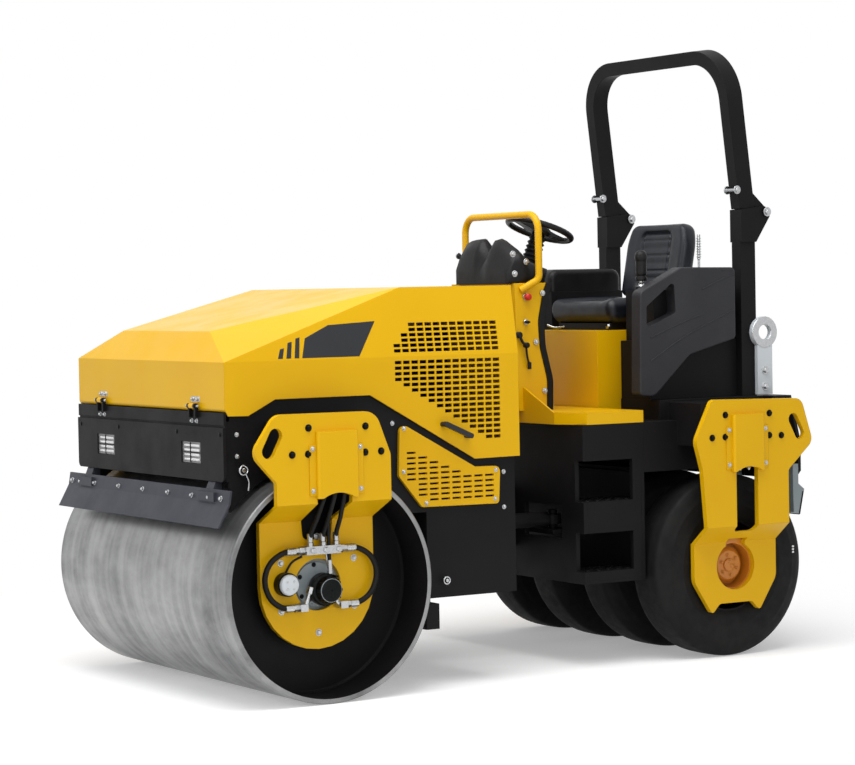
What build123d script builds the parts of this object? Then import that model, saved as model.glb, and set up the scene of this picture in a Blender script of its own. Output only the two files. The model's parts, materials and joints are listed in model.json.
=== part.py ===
# Small articulated road roller: a smooth steel drum in front, four smooth tyres behind.
# Millimetres. +X forward, +Y to the left, +Z up. The origin is on the ground, under the
# middle of the machine.
import os
from math import cos, radians, sin, sqrt

from build123d import *

# Running gear
DRUM_R = 450.0
DRUM_W = 1540.0
DRUM_WALL = 20.0
DRUM_X = 950.0
HEAD_Y = 580.0
HEAD_T = 20.0
WHEELBASE = 1990.0
AXLE_X = DRUM_X - WHEELBASE
TYRE_R = 387.5
TYRE_W = 205.0
TYRE_FLAT = 150.0
TYRE_Y = 590.0
TWIN_PITCH = 390.0
RIM_R = 195.0
RIM_W = 160.0
RIM_WALL = 8.0
WHEEL_HUB_OUT = TYRE_Y + 20.0

UNION_Z = 588.0
PORT_Z = 370.0
HOSE_R = 11.0
HOSE_BEND = 98.0
DROP_R = 9.0

# Clearances
RUN = 0.1
MOVE = 6.0
SIDE_PLAY = 1.0

# Articulation
PIVOT_X = -105.0
PIVOT_PIN_R = 35.0
LUG_R = 90.0
LUG_T = 35.0
LUG_GAP = 2.0
KNUCKLE_Z = (470.0, 730.0)

# Yoke plates
YOKE_T = 25.0
YOKE_OUT_Y = 810.0
YOKE_FRONT_IN_Y = 660.0
YOKE_REAR_IN_Y = 715.0
YOKE_HALF = 250.0
YOKE_REAR_HALF = 217.0
HUB_HOLE_R = 100.0
MOTOR_FLANGE_R = 86.0
MOTOR_RECESS = 17.0
MOTOR_SHAFT_R = 60.0
YOKE_KNEE_Z = 775.0
REAR_KNEE_Z = 565.0
YOKE_DROP = 75.0
TIE_TILT = 28.0
COVER_T = 22.0

# Front frame and hood
FRAME_Y = 655.0
PLATE_T = 20.0
FRONT_X = DRUM_X + DRUM_R - 59.0
DECK_Z = 2 * DRUM_R + 25.0
FRAME_LOW = 356.0
FRAME_REAR_X = 30.0
BAY_X = DRUM_X - DRUM_R - 50.0
HOOD_REAR_X = 13.0
HOOD_Y = 670.0
HOOD_TOP_Y = 624.0
HOOD_TOP_Z = 1592.0
HOOD_T = 6.0
CREASE_Z = 1319.0
NOSE_X = FRONT_X - 82.0
NOSE_Y = 394.0
NOSE_Z = 1434.0
CROWN_X = 537.0
GRILLE_REAR = 104.0
GRILLE_FRONT = 626.0
GRILLE_PITCH = 38.0
GRILLE_SLOT = 31.0
GRILLE_HALF = 6.5
GRILLE_PITCH_Z = 22.0
GRILLE_ROWS = 15
GRILLE_TOP_ROWS = 6
GRILLE_SLANT = 1.81
HINGE_Y = 425.0
HINGE_Z = 1150.0
HINGE_OUT = 15.0
HINGE_R = 10.0
HINGE_PIN_R = 5.0

LAMP_Y = 393.0
LAMP_Z = 969.0
LAMP_W = 165.0
LAMP_H = 83.0
SCRAPER_Y = 740.0
SCRAPER_X = FRONT_X + 19.0

# Steering cylinder: pins of the rear and front eyes, and lengths along its own axis
CYL_REAR = (-390.0, 300.0, 600.0)
CYL_FRONT = (170.0, 250.0, 600.0)
CYL_PIN_R = 18.0
CYL_R = 32.0
ROD_R = 18.0
BARREL_END = 375.0
ROD_START = 216.0
STROKE = 144.0
CYL_EYE_R = 36.0

# Rear frame, platform and seat
REAR_Y = 620.0
REAR_FRONT_X = -330.0
STEP_X = AXLE_X + TYRE_R + 12.5
WHEEL_TOP = 2 * TYRE_R + 25.0
TYRE_REAR_X = AXLE_X - TYRE_R
REAR_END_X = TYRE_REAR_X - 2.5
TAIL_Y = 680.0
FLOOR_Z = 1060.0
FLOOR_FRONT_X = -285.0
SEAT_BASE_Y = 280.0
SEAT_BASE_X = STEP_X - 10.0
TANK_X = -770.0
DECK_TOP = 1010.0
SEAT_X = -750.0
MOULDING_IN_Y = 490.0
SEAT_Z = 1420.0
SEAT_W = 480.0
CONSOLE_Y = 250.0
SHROUD_RIGHT_Y = -185.0
CONSOLE_X = (-400.0, -265.0)
TRIM_W = 28.0
RAIL_X = -350.0
RAIL_Y = 288.0
RAIL_TOP = 1890.0
RAIL_R = 15.0
WHEEL_R = 155.0
WHEEL_POS = (-550.0, 0.0, 1830.0)
WHEEL_TILT = 20.0

# Roll bar
POST_X = -1275.0
POST_Y = 500.0
POST_A = 80.0
POST_B = 60.0
POST_Z = 1095.0
POST_TOP = 1900.0
ARCH_TOP = 2600.0
ARCH_LEAN = 7.0
ARCH_R = 190.0
FOLD_X = -1370.0
FOLD_Z = 1890.0
FOLD_PIN_R = 10.0

# Lifting links
LINK_X = -1345.0
LINK_Z = 1369.0
LINK_R = 68.0
LINK_HOLE_R = 32.5
LINK_T = 20.0

NODES = {}


def box(x0, x1, y0, y1, z0, z1):
    return Pos((x0 + x1) / 2, (y0 + y1) / 2, (z0 + z1) / 2) * Box(abs(x1 - x0), abs(y1 - y0), abs(z1 - z0))


def plate(points, y0, y1, radius=0):
    """A plate with an outline in X and Z, from y0 to y1; radius may list one value per corner."""
    face = make_face(Plane.XZ * FilletPolyline(*points, radius=radius, close=True))
    return Pos(0, y0, 0) * extrude(face, amount=y1 - y0, dir=(0, 1, 0))


def slab(points, z0, z1):
    """A plate with an outline in X and Y, from z0 to z1."""
    return Pos(0, 0, z0) * extrude(make_face(Polyline(*points, close=True)), amount=z1 - z0)


def rod_y(x, y0, y1, z, r):
    return Pos(x, (y0 + y1) / 2, z) * Rot(90, 0, 0) * Cylinder(r, abs(y1 - y0))


def rod_x(x0, x1, y, z, r):
    return Pos((x0 + x1) / 2, y, z) * Rot(0, 90, 0) * Cylinder(r, abs(x1 - x0))


def rod_z(x, y, z0, z1, r):
    return Pos(x, y, (z0 + z1) / 2) * Cylinder(r, abs(z1 - z0))


def turned(profile, x, z):
    """A body of revolution about the Y axis: profile is (y, radius) pairs."""
    face = make_face(Plane.XY * Polyline(*[(r, y) for y, r in profile], close=True))
    return Pos(x, 0, z) * revolve(face, Axis.Y)


def other_side(shape):
    return mirror(shape, about=Plane.XZ)


def pair(shape):
    return [shape, other_side(shape)]


def flat(items):
    out = []
    for item in items:
        out.extend(flat(item) if isinstance(item, (list, tuple)) else item.solids())
    return out


def node(name, *items):
    NODES[name] = Compound(flat(items))


def sided(name, shape):
    node(name + "_left", shape)
    node(name + "_right", other_side(shape))


# Drum and tyres

def drum():
    inner = DRUM_R - DRUM_WALL
    half = DRUM_W / 2
    bore = MOTOR_SHAFT_R + RUN
    shell = turned([(-half, DRUM_R), (half, DRUM_R), (half, inner), (-half, inner)], DRUM_X, DRUM_R)
    head = turned([(HEAD_Y - HEAD_T, inner), (HEAD_Y, inner), (HEAD_Y, bore), (HEAD_Y - HEAD_T, bore)],
                  DRUM_X, DRUM_R)
    return shell + head + other_side(head)


def tyre(y):
    half = TYRE_W / 2
    crown = TYRE_FLAT / 2
    rim = RIM_W / 2
    side = []
    for sign in (1, -1):
        side.append(ThreePointArc((TYRE_R, sign * crown), (348, sign * (half - 4)), (300, sign * half)))
        side.append(ThreePointArc((300, sign * half), (245, sign * (half - 8)), (205, sign * rim)))
        side.append(Line((205, sign * rim), (RIM_R, sign * rim)))
    tread = Line((TYRE_R, crown), (TYRE_R, -crown))
    bore = Line((RIM_R, rim), (RIM_R, -rim))
    face = make_face([*side, tread, bore])
    return Pos(AXLE_X, y, TYRE_R) * revolve(face, Axis.Y)


def wheel_hub():
    """Both rims of one side with the drum that joins them."""
    half = RIM_W / 2
    parts = []
    for y in (TYRE_Y, TYRE_Y - TWIN_PITCH):
        inner = RIM_R - RIM_WALL
        parts.append(turned([(y - half, RIM_R), (y + half, RIM_R), (y + half, inner), (y - half, inner)],
                            AXLE_X, TYRE_R))
        disc = y - 10
        parts.append(turned([(disc - 12, inner), (disc, inner), (disc, 100), (disc - 12, 100)],
                            AXLE_X, TYRE_R))
    bore = MOTOR_SHAFT_R + RUN
    low = TYRE_Y - TWIN_PITCH - 40
    high = WHEEL_HUB_OUT
    parts.append(turned([(low, 110), (high, 110), (high, bore), (low, bore)], AXLE_X, TYRE_R))
    return fused(parts)


def fused(parts):
    whole = parts[0]
    for item in parts[1:]:
        whole = whole + item
    return whole


# Yoke plates

def bent_plate(upper, rounds, lower, low_rounds, z_high, inner_y, x, holes):
    """A side plate with a joggle: its foot lies inside the drum end or wheel dish."""
    z_low = z_high - YOKE_DROP
    top = plate([(x + a, b) for a, b in upper], YOKE_OUT_Y - YOKE_T, YOKE_OUT_Y, rounds)
    foot = plate([(x + a, b) for a, b in lower], inner_y - YOKE_T, inner_y, low_rounds)
    rear, front = lower[0][0], lower[-1][0]
    a = (YOKE_OUT_Y - YOKE_T, z_high)
    b = (YOKE_OUT_Y, z_high)
    c = (inner_y, z_low)
    d = (inner_y - YOKE_T, z_low)
    web = Plane.YZ * make_face(Polyline(a, b, c, d, close=True))
    web = Pos(x + rear, 0, 0) * extrude(web, amount=front - rear, dir=(1, 0, 0))
    body = top + web + foot
    for hole in holes:
        body = body - hole
    return body


def foot_outline(half, hub_z, top_z, steps=14):
    """Straight flanks down to the hub, then a round end."""
    points = [(-half, top_z)]
    for i in range(steps + 1):
        a = radians(180 + 180 * i / steps)
        points.append((half * cos(a), hub_z + half * sin(a)))
    points.append((half, top_z))
    return points


def slot_hole(x, z, length, width, tilt):
    """A round-ended slot through a side plate; tilt leans its top towards -X."""
    lean = radians(tilt)
    dx, dz = (length - width) / 2 * sin(lean), (length - width) / 2 * cos(lean)
    side_x, side_z = width / 2 * cos(lean), width / 2 * sin(lean)
    corners = [(x - dx - side_x, z + dz - side_z), (x - dx + side_x, z + dz + side_z),
               (x + dx + side_x, z - dz + side_z), (x + dx - side_x, z - dz - side_z)]
    body = plate(corners, 600, 900)
    return body + rod_y(x - dx, 600, 900, z + dz, width / 2) + rod_y(x + dx, 600, 900, z - dz, width / 2)


def front_yoke():
    upper = [(-YOKE_HALF, YOKE_KNEE_Z), (-YOKE_HALF, 950), (-185, 1118), (251, 1120), (353, 974),
             (YOKE_HALF, 862), (YOKE_HALF, YOKE_KNEE_Z)]
    rounds = [0, 40, 70, 60, 55, 20, 0]
    foot = foot_outline(YOKE_HALF, DRUM_R, YOKE_KNEE_Z - YOKE_DROP)
    hub = rod_y(DRUM_X, 500, 900, DRUM_R, HUB_HOLE_R)
    ear = slot_hole(DRUM_X + 266, 1012, 122, 56, TIE_TILT)
    opening = plate([(DRUM_X - 78, 930), (DRUM_X + 78, 930), (DRUM_X + 78, 812), (DRUM_X + 62, 625),
                     (DRUM_X - 62, 625), (DRUM_X - 78, 812)], 600, 900, [0, 0, 0, 25, 25, 0])
    return bent_plate(upper, rounds, foot, 0, YOKE_KNEE_Z, YOKE_FRONT_IN_Y, DRUM_X, [hub, ear, opening])


def rear_yoke():
    half = YOKE_REAR_HALF
    upper = [(-half, REAR_KNEE_Z), (-half, 790), (-350, 905), (-290, 1090), (185, 1100), (272, 930),
             (238, 810), (half, REAR_KNEE_Z)]
    rounds = [0, 25, 45, 45, 30, 60, 40, 0]
    foot = [(-half, REAR_KNEE_Z - YOKE_DROP), (-half, 330), (-126, 190), (-85, 232), (85, 232), (126, 190),
            (half, 330), (half, REAR_KNEE_Z - YOKE_DROP)]
    hub = rod_y(AXLE_X, 500, 900, TYRE_R, HUB_HOLE_R)
    key = box(AXLE_X - 50, AXLE_X + 50, 600, 900, TYRE_R, TYRE_R + 118)
    ear = slot_hole(AXLE_X - 262, 972, 120, 50, -TIE_TILT)
    opening = plate([(AXLE_X - 52, 540), (AXLE_X - 52, 812), (AXLE_X + 62, 812), (AXLE_X + 62, 540)], 600, 900,
                    [20, 0, 0, 20])
    return bent_plate(upper, rounds, foot, [0, 70, 12, 20, 20, 12, 70, 0], REAR_KNEE_Z, YOKE_REAR_IN_Y, AXLE_X,
                      [hub, key, ear, opening])


def yoke_cover(x, half, z0, z1):
    """Bolted cover over the hoses: a raised box between two flanges, its foot arched."""
    y = YOKE_OUT_Y
    flange = box(x - half - 28, x + half + 28, y, y + 5, z0 + 10, z1 - 50)
    body = box(x - half, x + half, y, y + COVER_T, z0, z1)
    body = fillet(body.edges().filter_by(Axis.Z).group_by(Axis.Y)[-1], 10)
    return flange + body - rod_y(x, y - 10, y + 50, z0 - 105, 125)


def wheel_motor():
    """A flange behind the plate, a cup with the gear hub in it, and the shaft of the wheels."""
    back = YOKE_REAR_IN_Y - YOKE_T
    cup = WHEEL_HUB_OUT + MOVE
    shaft = TYRE_Y - TWIN_PITCH - 50
    r = HUB_HOLE_R
    return turned([(shaft, 0), (shaft, MOTOR_SHAFT_R), (cup, MOTOR_SHAFT_R), (cup, r), (back - 20, r),
                   (back - 20, r + 45), (back, r + 45), (back, r - 6), (cup + 8, r - 6), (cup + 8, 70),
                   (cup + 44, 70), (cup + 52, 60), (cup + 52, 0)], AXLE_X, TYRE_R)


def drum_motor():
    """The vibration motor in the hub hole, with its accumulator and the two hose unions above."""
    y = YOKE_FRONT_IN_Y
    back, face, reach = y - YOKE_T, y - MOTOR_RECESS, HEAD_Y - HEAD_T - 10
    body = rod_y(DRUM_X, back - 25, back, DRUM_R, HUB_HOLE_R + 45)
    body = body + rod_y(DRUM_X, back, face, DRUM_R, MOTOR_FLANGE_R)
    body = body + rod_y(DRUM_X, reach, back - 25, DRUM_R, MOTOR_SHAFT_R)
    body = body + rod_y(DRUM_X - 18, face, y + 78, DRUM_R - 18, 46)
    body = body + rod_y(DRUM_X - 18, face, y + 40, DRUM_R - 18, 58)
    union = box(DRUM_X - 75, DRUM_X + 75, y, y + 55, UNION_Z - 16, UNION_Z + 16)
    ports = [box(DRUM_X + a - 16, DRUM_X + a + 16, y, y + 55, PORT_Z - 14, PORT_Z + 14) for a in (88, -88)]
    gauge = rod_y(DRUM_X + 148, y, y + 45, DRUM_R + 12, 40)
    return body, [union, gauge, *ports]


def hose_loops():
    """Two hoses that leave the union block sideways and return to the motor's ports."""
    y = YOKE_FRONT_IN_Y + 30
    loops = []
    for sign in (1, -1):
        route = [(75, UNION_Z), (160, UNION_Z), (225, UNION_Z - 35), (252, UNION_Z - 105),
                 (225, PORT_Z + 35), (165, PORT_Z), (104, PORT_Z)]
        route = [(DRUM_X + sign * a, y, z) for a, z in route]
        path = FilletPolyline(*route, radius=[HOSE_BEND] * (len(route) - 2))
        start = Plane(origin=route[0], z_dir=(sign, 0, 0))
        loops.append(sweep(start * Circle(HOSE_R), path=path))
    return loops


def drop_hoses():
    """Hoses that come down from under the cover, through the opening, to the union block."""
    y = YOKE_FRONT_IN_Y + 30
    hoses = []
    for a, shift in ((-52, -30), (-10, 0), (32, 30)):
        route = [(DRUM_X + a, YOKE_OUT_Y - 12, 905), (DRUM_X + a, YOKE_OUT_Y - 12, 815),
                 (DRUM_X + a + shift / 3, y + 45, 705), (DRUM_X + a + shift / 2, y, UNION_Z + 57),
                 (DRUM_X + a + shift / 2, y, UNION_Z + 16)]
        path = FilletPolyline(*route, radius=[120, 120, 80])
        start = Plane(origin=route[0], z_dir=(0, 0, -1))
        hoses.append(sweep(start * Circle(DROP_R), path=path))
    return hoses


# Front frame

def front_frame():
    arch = rod_y(DRUM_X, -900, 900, DRUM_R, DRUM_R + 2 * MOVE + 10)
    side = plate([(FRAME_REAR_X, FRAME_LOW), (BAY_X, FRAME_LOW), (BAY_X, 700), (FRONT_X - 25, 700),
                  (FRONT_X - 25, 1128), (FRONT_X - 99, 1134), (FRONT_X - 216, 1192), (701, 1192), (222, 921),
                  (FRAME_REAR_X, 921)],
                 FRAME_Y - PLATE_T, FRAME_Y)
    side = side - arch
    deck = box(BAY_X - PLATE_T, FRONT_X - 25, -FRAME_Y, FRAME_Y, DECK_Z, DECK_Z + 15)
    bay_front = box(BAY_X - PLATE_T, BAY_X, -FRAME_Y, FRAME_Y, FRAME_LOW, DECK_Z) - arch
    bay_floor = box(FRAME_REAR_X, BAY_X, -FRAME_Y, FRAME_Y, FRAME_LOW, FRAME_LOW + PLATE_T)
    bay_rear = box(FRAME_REAR_X, FRAME_REAR_X + PLATE_T, -FRAME_Y, FRAME_Y, FRAME_LOW, 850)
    beam = box(DRUM_X - 210, DRUM_X + 215, -YOKE_OUT_Y + YOKE_T, YOKE_OUT_Y - YOKE_T, DECK_Z + 15, 1090)
    nose = box(FRONT_X - 25, FRONT_X - 5, -FRAME_Y, FRAME_Y, 865, 1095)
    window = box(0, FRAME_REAR_X + PLATE_T + 5, 130, 420, 520, 680)
    frame = fused([side, other_side(side), deck, bay_front, bay_floor, bay_rear - window, beam, nose])
    for low in (KNUCKLE_Z[0] - LUG_GAP - LUG_T, KNUCKLE_Z[1] + LUG_GAP):
        lug = slab([(FRAME_REAR_X + 5, -170), (FRAME_REAR_X + 5, 170), (PIVOT_X, LUG_R), (PIVOT_X, -LUG_R)],
                   low, low + LUG_T)
        lug = lug + rod_z(PIVOT_X, 0, low, low + LUG_T, LUG_R)
        frame = frame + lug - rod_z(PIVOT_X, 0, low - 1, low + LUG_T + 1, PIVOT_PIN_R + RUN)
    for low in (CYL_FRONT[2] - 60, CYL_FRONT[2] + 38):
        cheek = slab([(BAY_X - PLATE_T, 180), (BAY_X - PLATE_T, 320), (CYL_FRONT[0] - 30, 290),
                      (CYL_FRONT[0] - 30, 210)], low, low + 22)
        frame = frame + cheek - rod_z(CYL_FRONT[0], CYL_FRONT[1], low - 1, low + 23, CYL_PIN_R)
    return frame


def front_panel():
    """The plate with the lamps, under the hood's front edge."""
    strip = box(FRONT_X - 5, FRONT_X + 5, -HOOD_Y, HOOD_Y, 1080, HINGE_Z - 22)
    lower = box(FRONT_X - 5, FRONT_X + 9, -HOOD_Y, HOOD_Y, 866, 1072)
    lower = fillet(lower.edges().filter_by(Axis.X).group_by(Axis.Z)[0], 22)
    panel = strip + lower + box(FRONT_X - 5, FRONT_X, -HOOD_Y, HOOD_Y, 1000, 1100)
    for sign in (1, -1):
        panel = panel - box(FRONT_X - 10, FRONT_X + 20, sign * LAMP_Y - LAMP_W / 2,
                            sign * LAMP_Y + LAMP_W / 2, LAMP_Z - LAMP_H / 2, LAMP_Z + LAMP_H / 2)
    pin_x = FRONT_X + HINGE_OUT
    for sign in (1, -1):
        for step in (-1, 1):
            y = sign * HINGE_Y + step * 26
            ear = box(FRONT_X + 5, pin_x + 4, y - 6, y + 6, HINGE_Z - 45, HINGE_Z)
            panel = panel + ear + rod_y(pin_x, y - 6, y + 6, HINGE_Z, HINGE_R)
        panel = panel + rod_y(pin_x, sign * HINGE_Y - 30, sign * HINGE_Y + 30, HINGE_Z, HINGE_PIN_R)
    return panel


def lamps():
    lamp = box(FRONT_X - 5, FRONT_X + 4, LAMP_Y - LAMP_W / 2 + 1, LAMP_Y + LAMP_W / 2 - 1,
               LAMP_Z - LAMP_H / 2 + 1, LAMP_Z + LAMP_H / 2 - 1)
    return pair(lamp)


# Hood

def away(shape, point, normal, inset):
    """Cut away what lies beyond a plane, moved in by the inset."""
    length = sqrt(sum(n * n for n in normal))
    unit = [n / length for n in normal]
    origin = tuple(p - inset * n for p, n in zip(point, unit))
    return split(shape, bisect_by=Plane(origin=origin, z_dir=tuple(unit)), keep=Keep.BOTTOM)


def across(a, b, c):
    """The normal of the plane through three points, pointing up."""
    u = [b[i] - a[i] for i in range(3)]
    v = [c[i] - a[i] for i in range(3)]
    n = [u[1] * v[2] - u[2] * v[1], u[2] * v[0] - u[0] * v[2], u[0] * v[1] - u[1] * v[0]]
    return n if n[2] > 0 else [-i for i in n]


def hood_block(inset, low):
    block = box(HOOD_REAR_X + inset, FRONT_X - inset, -HOOD_Y + inset, HOOD_Y - inset, low,
                HOOD_TOP_Z - inset)
    for s in (1, -1):
        a = (FRONT_X, s * HOOD_Y, CREASE_Z)
        b = (CROWN_X, s * HOOD_TOP_Y, HOOD_TOP_Z)
        d = (NOSE_X, s * NOSE_Y, NOSE_Z)
        block = away(block, a, across(a, b, (CROWN_X, s * HOOD_Y, CREASE_Z)), inset)
        block = away(block, a, across(a, b, d), inset)
    d = (NOSE_X, NOSE_Y, NOSE_Z)
    far_d = (NOSE_X, -NOSE_Y, NOSE_Z)
    block = away(block, d, across(d, far_d, (FRONT_X, 0, CREASE_Z)), inset)
    block = away(block, d, across(d, far_d, (CROWN_X, 0, HOOD_TOP_Z)), inset)
    return block


def hood():
    low = 880.0
    shell = hood_block(0, low) - hood_block(HOOD_T, low - 10)
    under = [(FRONT_X + 50, HINGE_Z - 9), (FRONT_X, HINGE_Z - 9), (FRONT_X - 14, 1115), (FRONT_X - 99, 1113),
             (FRONT_X - 216, 1172), (706, 1173), (227, 902), (HOOD_REAR_X - 50, 904), (HOOD_REAR_X - 50, low - 50),
             (FRONT_X + 50, low - 50)]
    shell = shell - plate(under, -900, 900)
    pin_x = FRONT_X + HINGE_OUT
    for sign in (1, -1):
        y = sign * HINGE_Y
        leaf = box(FRONT_X - 3, pin_x, y - 18, y + 18, HINGE_Z - 6, HINGE_Z + 10)
        leaf = leaf + rod_y(pin_x, y - 18, y + 18, HINGE_Z, HINGE_R)
        shell = shell + leaf - rod_y(pin_x, y - 20, y + 20, HINGE_Z, HINGE_PIN_R + RUN)
    for sign in (1, -1):
        shell = shell - side_grille(sign)
    return shell


def side_grille(sign):
    """Rows of short slots through the hood's side: below the crease, and above it on the slope."""
    cuts = []
    for row in range(GRILLE_ROWS):
        z = 1296 - row * GRILLE_PITCH_Z
        front = GRILLE_FRONT if z > 1229 else GRILLE_FRONT - (1229 - z) * GRILLE_SLANT
        for x in grille_row(front):
            cuts.append(box(x, x + GRILLE_SLOT, sign * (HOOD_Y - 20), sign * (HOOD_Y + 20), z - GRILLE_HALF,
                            z + GRILLE_HALF))
    for row in range(GRILLE_TOP_ROWS):
        z = 1342 + row * GRILLE_PITCH_Z * 0.93
        for x in grille_row(GRILLE_FRONT - 10 - row * 16):
            cuts.append(box(x, x + GRILLE_SLOT, sign * 600, sign * (HOOD_Y + 20), z - GRILLE_HALF,
                            z + GRILLE_HALF))
    return Compound(flat(cuts))


def grille_row(front):
    count = int((front - GRILLE_REAR) / GRILLE_PITCH)
    return [GRILLE_REAR + i * GRILLE_PITCH for i in range(count)]


def hood_handle():
    front, rear = (392, 1042), (262, 984)
    grip = plate([front, (front[0] - 8, front[1] + 18), (rear[0] - 8, rear[1] + 18), rear], HOOD_Y + 24,
                 HOOD_Y + 42, 7)
    feet = [rod_y(x, HOOD_Y, HOOD_Y + 30, z, 10) for x, z in ((378, 1046), (268, 996))]
    return fused([grip, *feet])


def lower_grille():
    outline = [(574, 1062), (582, 849), (478, 722), (116, 717), (108, 868), (227, 870)]
    panel = plate(outline, FRAME_Y, HOOD_Y, [25, 15, 15, 15, 25, 15])
    cuts = []
    for col in range(8):
        x = 140 + col * 52
        for row in range(13):
            z = 746 + row * 21
            slot_top = 840 + max(0, x - 227) * 0.44
            slot_low = 740 + max(0, x + 40 - 478) * 1.25
            if slot_low < z and z + 8 < slot_top:
                cuts.append(box(x, x + 40, FRAME_Y - 1, HOOD_Y + 1, z, z + 8))
    return panel - Compound(flat(cuts))


def engine():
    return box(95, 640, -260, 260, DECK_Z + 15, 1430) - box(90, BAY_X - PLATE_T, -270, 270, 900, 945)


def front_scraper():
    top, fold, tip = DRUM_R + 388, DRUM_R + 337, DRUM_R + 250
    x = SCRAPER_X
    flange = plate([(x - 8, top), (x, top), (x + 8, fold), (x, fold)], -SCRAPER_Y, SCRAPER_Y)
    blade = plate([(x, fold), (x + 8, fold), (x + 56, tip), (x + 48, tip)], -SCRAPER_Y, SCRAPER_Y)
    parts = [flange, blade]
    for y in (-560, 560):
        arm = plate([(FRONT_X - 25, DRUM_R + 350), (FRONT_X - 25, 865), (FRONT_X + 4, 865), (x - 4, top),
                     (x + 2, DRUM_R + 350)], y - 30, y + 30)
        parts.append(arm)
        parts.append(box(x - 8, x + 16, y - 70, y + 70, DRUM_R + 342, DRUM_R + 378))
    return fused(parts)


def rear_scraper():
    clear = DRUM_R + MOVE
    blade = box(BAY_X, BAY_X + 60, -740, 740, 245, 345) - rod_y(DRUM_X, -800, 800, DRUM_R, clear)
    holder = box(BAY_X - 20, BAY_X, -640, 640, 245, FRAME_LOW)
    return blade + holder


# Steering cylinder between the frames


def along(start, end, r):
    """A round bar along the cylinder's own axis."""
    return Rot(0, 90, 0) * (Pos(0, 0, (start + end) / 2) * Cylinder(r, end - start))


def cylinder_parts():
    dx = CYL_FRONT[0] - CYL_REAR[0]
    dy = CYL_FRONT[1] - CYL_REAR[1]
    length = sqrt(dx * dx + dy * dy)
    place = Plane(origin=CYL_REAR, x_dir=(dx, dy, 0), z_dir=(0, 0, 1))
    eye = Cylinder(CYL_EYE_R, 40) - Cylinder(CYL_PIN_R + RUN, 50)
    tube = along(30, BARREL_END, CYL_R)
    barrel = eye + tube - along(ROD_START - STROKE - MOVE, BARREL_END + 1, ROD_R + RUN)
    rod = along(ROD_START, length - CYL_EYE_R + 4, ROD_R)
    far_eye = Pos(length, 0, 0) * (Cylinder(CYL_EYE_R, 40) - Cylinder(CYL_PIN_R, 50))
    rod = rod - Pos(length, 0, 0) * Cylinder(CYL_PIN_R, 60) + far_eye
    return place * barrel, place * rod


# Rear frame

def rear_frame():
    """Deck, wheel tunnel, cross beam and tail."""
    side = plate([(STEP_X, WHEEL_TOP), (-900, WHEEL_TOP), (-900, 995), (STEP_X, 995)], REAR_Y - PLATE_T, REAR_Y)
    deck = box(REAR_END_X + 15, REAR_FRONT_X, -REAR_Y, REAR_Y, 995, DECK_TOP)
    tunnel = box(REAR_END_X + 15, STEP_X, -REAR_Y, REAR_Y, WHEEL_TOP, WHEEL_TOP + 15)
    beam = box(AXLE_X - 225, AXLE_X + 225, -YOKE_OUT_Y + YOKE_T, YOKE_OUT_Y - YOKE_T, 905, 1085)
    beam = beam + box(AXLE_X - 225, AXLE_X + 225, -REAR_Y, REAR_Y, WHEEL_TOP, 1085)
    tail = Plane.YZ * make_face(Polyline((-TAIL_Y, WHEEL_TOP - 30), (-TAIL_Y + 40, WHEEL_TOP - 70),
                                         (TAIL_Y - 40, WHEEL_TOP - 70), (TAIL_Y, WHEEL_TOP - 30),
                                         (TAIL_Y, 900), (REAR_Y, POST_Z), (-REAR_Y, POST_Z), (-TAIL_Y, 900),
                                         close=True))
    tail = Pos(REAR_END_X, 0, 0) * extrude(tail, amount=15, dir=(1, 0, 0))
    tail = tail + box(REAR_END_X + 15, REAR_END_X + 100, -REAR_Y, REAR_Y, WHEEL_TOP, POST_Z)
    top = box(REAR_END_X, TANK_X, -560, 560, DECK_TOP, POST_Z)
    return fused([side, other_side(side), deck, tunnel, beam, tail, top])


STEP_BANDS = ((350, 400), (560, 690), (860, 995))


def step_frame():
    """The box under the platform, with the articulation's knuckle and the cylinder's rear pin."""
    rear = REAR_FRONT_X - PLATE_T
    front = box(rear, REAR_FRONT_X, -REAR_Y + 60, REAR_Y - 60, 350, 995)
    front = front - box(rear - 30, REAR_FRONT_X + 50, 180, 460, 530, 670)
    bands = [box(rear, REAR_FRONT_X, -REAR_Y, REAR_Y, low, high) for low, high in STEP_BANDS]
    bands[1] = bands[1] - box(rear - 30, REAR_FRONT_X + 50, 180, 460, 530, 670)
    back = box(STEP_X, STEP_X + 15, -REAR_Y, REAR_Y, 350, WHEEL_TOP)
    floor = box(rear, STEP_X + 15, -REAR_Y, REAR_Y, 350, 362)
    knuckle = box(REAR_FRONT_X - 5, PIVOT_X, -80, 80, *KNUCKLE_Z)
    knuckle = knuckle + rod_z(PIVOT_X, 0, *KNUCKLE_Z, 80)
    pin = rod_z(PIVOT_X, 0, KNUCKLE_Z[0] - LUG_T - 20, KNUCKLE_Z[1] + LUG_T + 20, PIVOT_PIN_R)
    bracket = box(REAR_FRONT_X - 120, rear, 130, CYL_REAR[1] + 60, 540, 560)
    bracket = bracket + rod_z(CYL_REAR[0], CYL_REAR[1], 540, 640, CYL_PIN_R)
    return fused([front, *bands, back, floor, knuckle, pin, bracket])


def step_panel():
    """A side of the box with two boot holes, open to the front corner too, and their treads."""
    front, rear, hole_rear = REAR_FRONT_X - PLATE_T, STEP_X + 15, STEP_X + 60
    side = plate([(front, 362), (rear, 362), (rear, WHEEL_TOP), (STEP_X, WHEEL_TOP), (STEP_X, 995), (front, 995)],
                 REAR_Y - PLATE_T, REAR_Y)
    for (_, low), (high, _) in zip(STEP_BANDS, STEP_BANDS[1:]):
        side = side - box(front + 10, hole_rear, 560, 700, low, high)
    treads = [box(front, rear, 430, REAR_Y - PLATE_T, high - 12, high) for _, high in STEP_BANDS[:2]]
    return fused([side, *treads])


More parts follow.
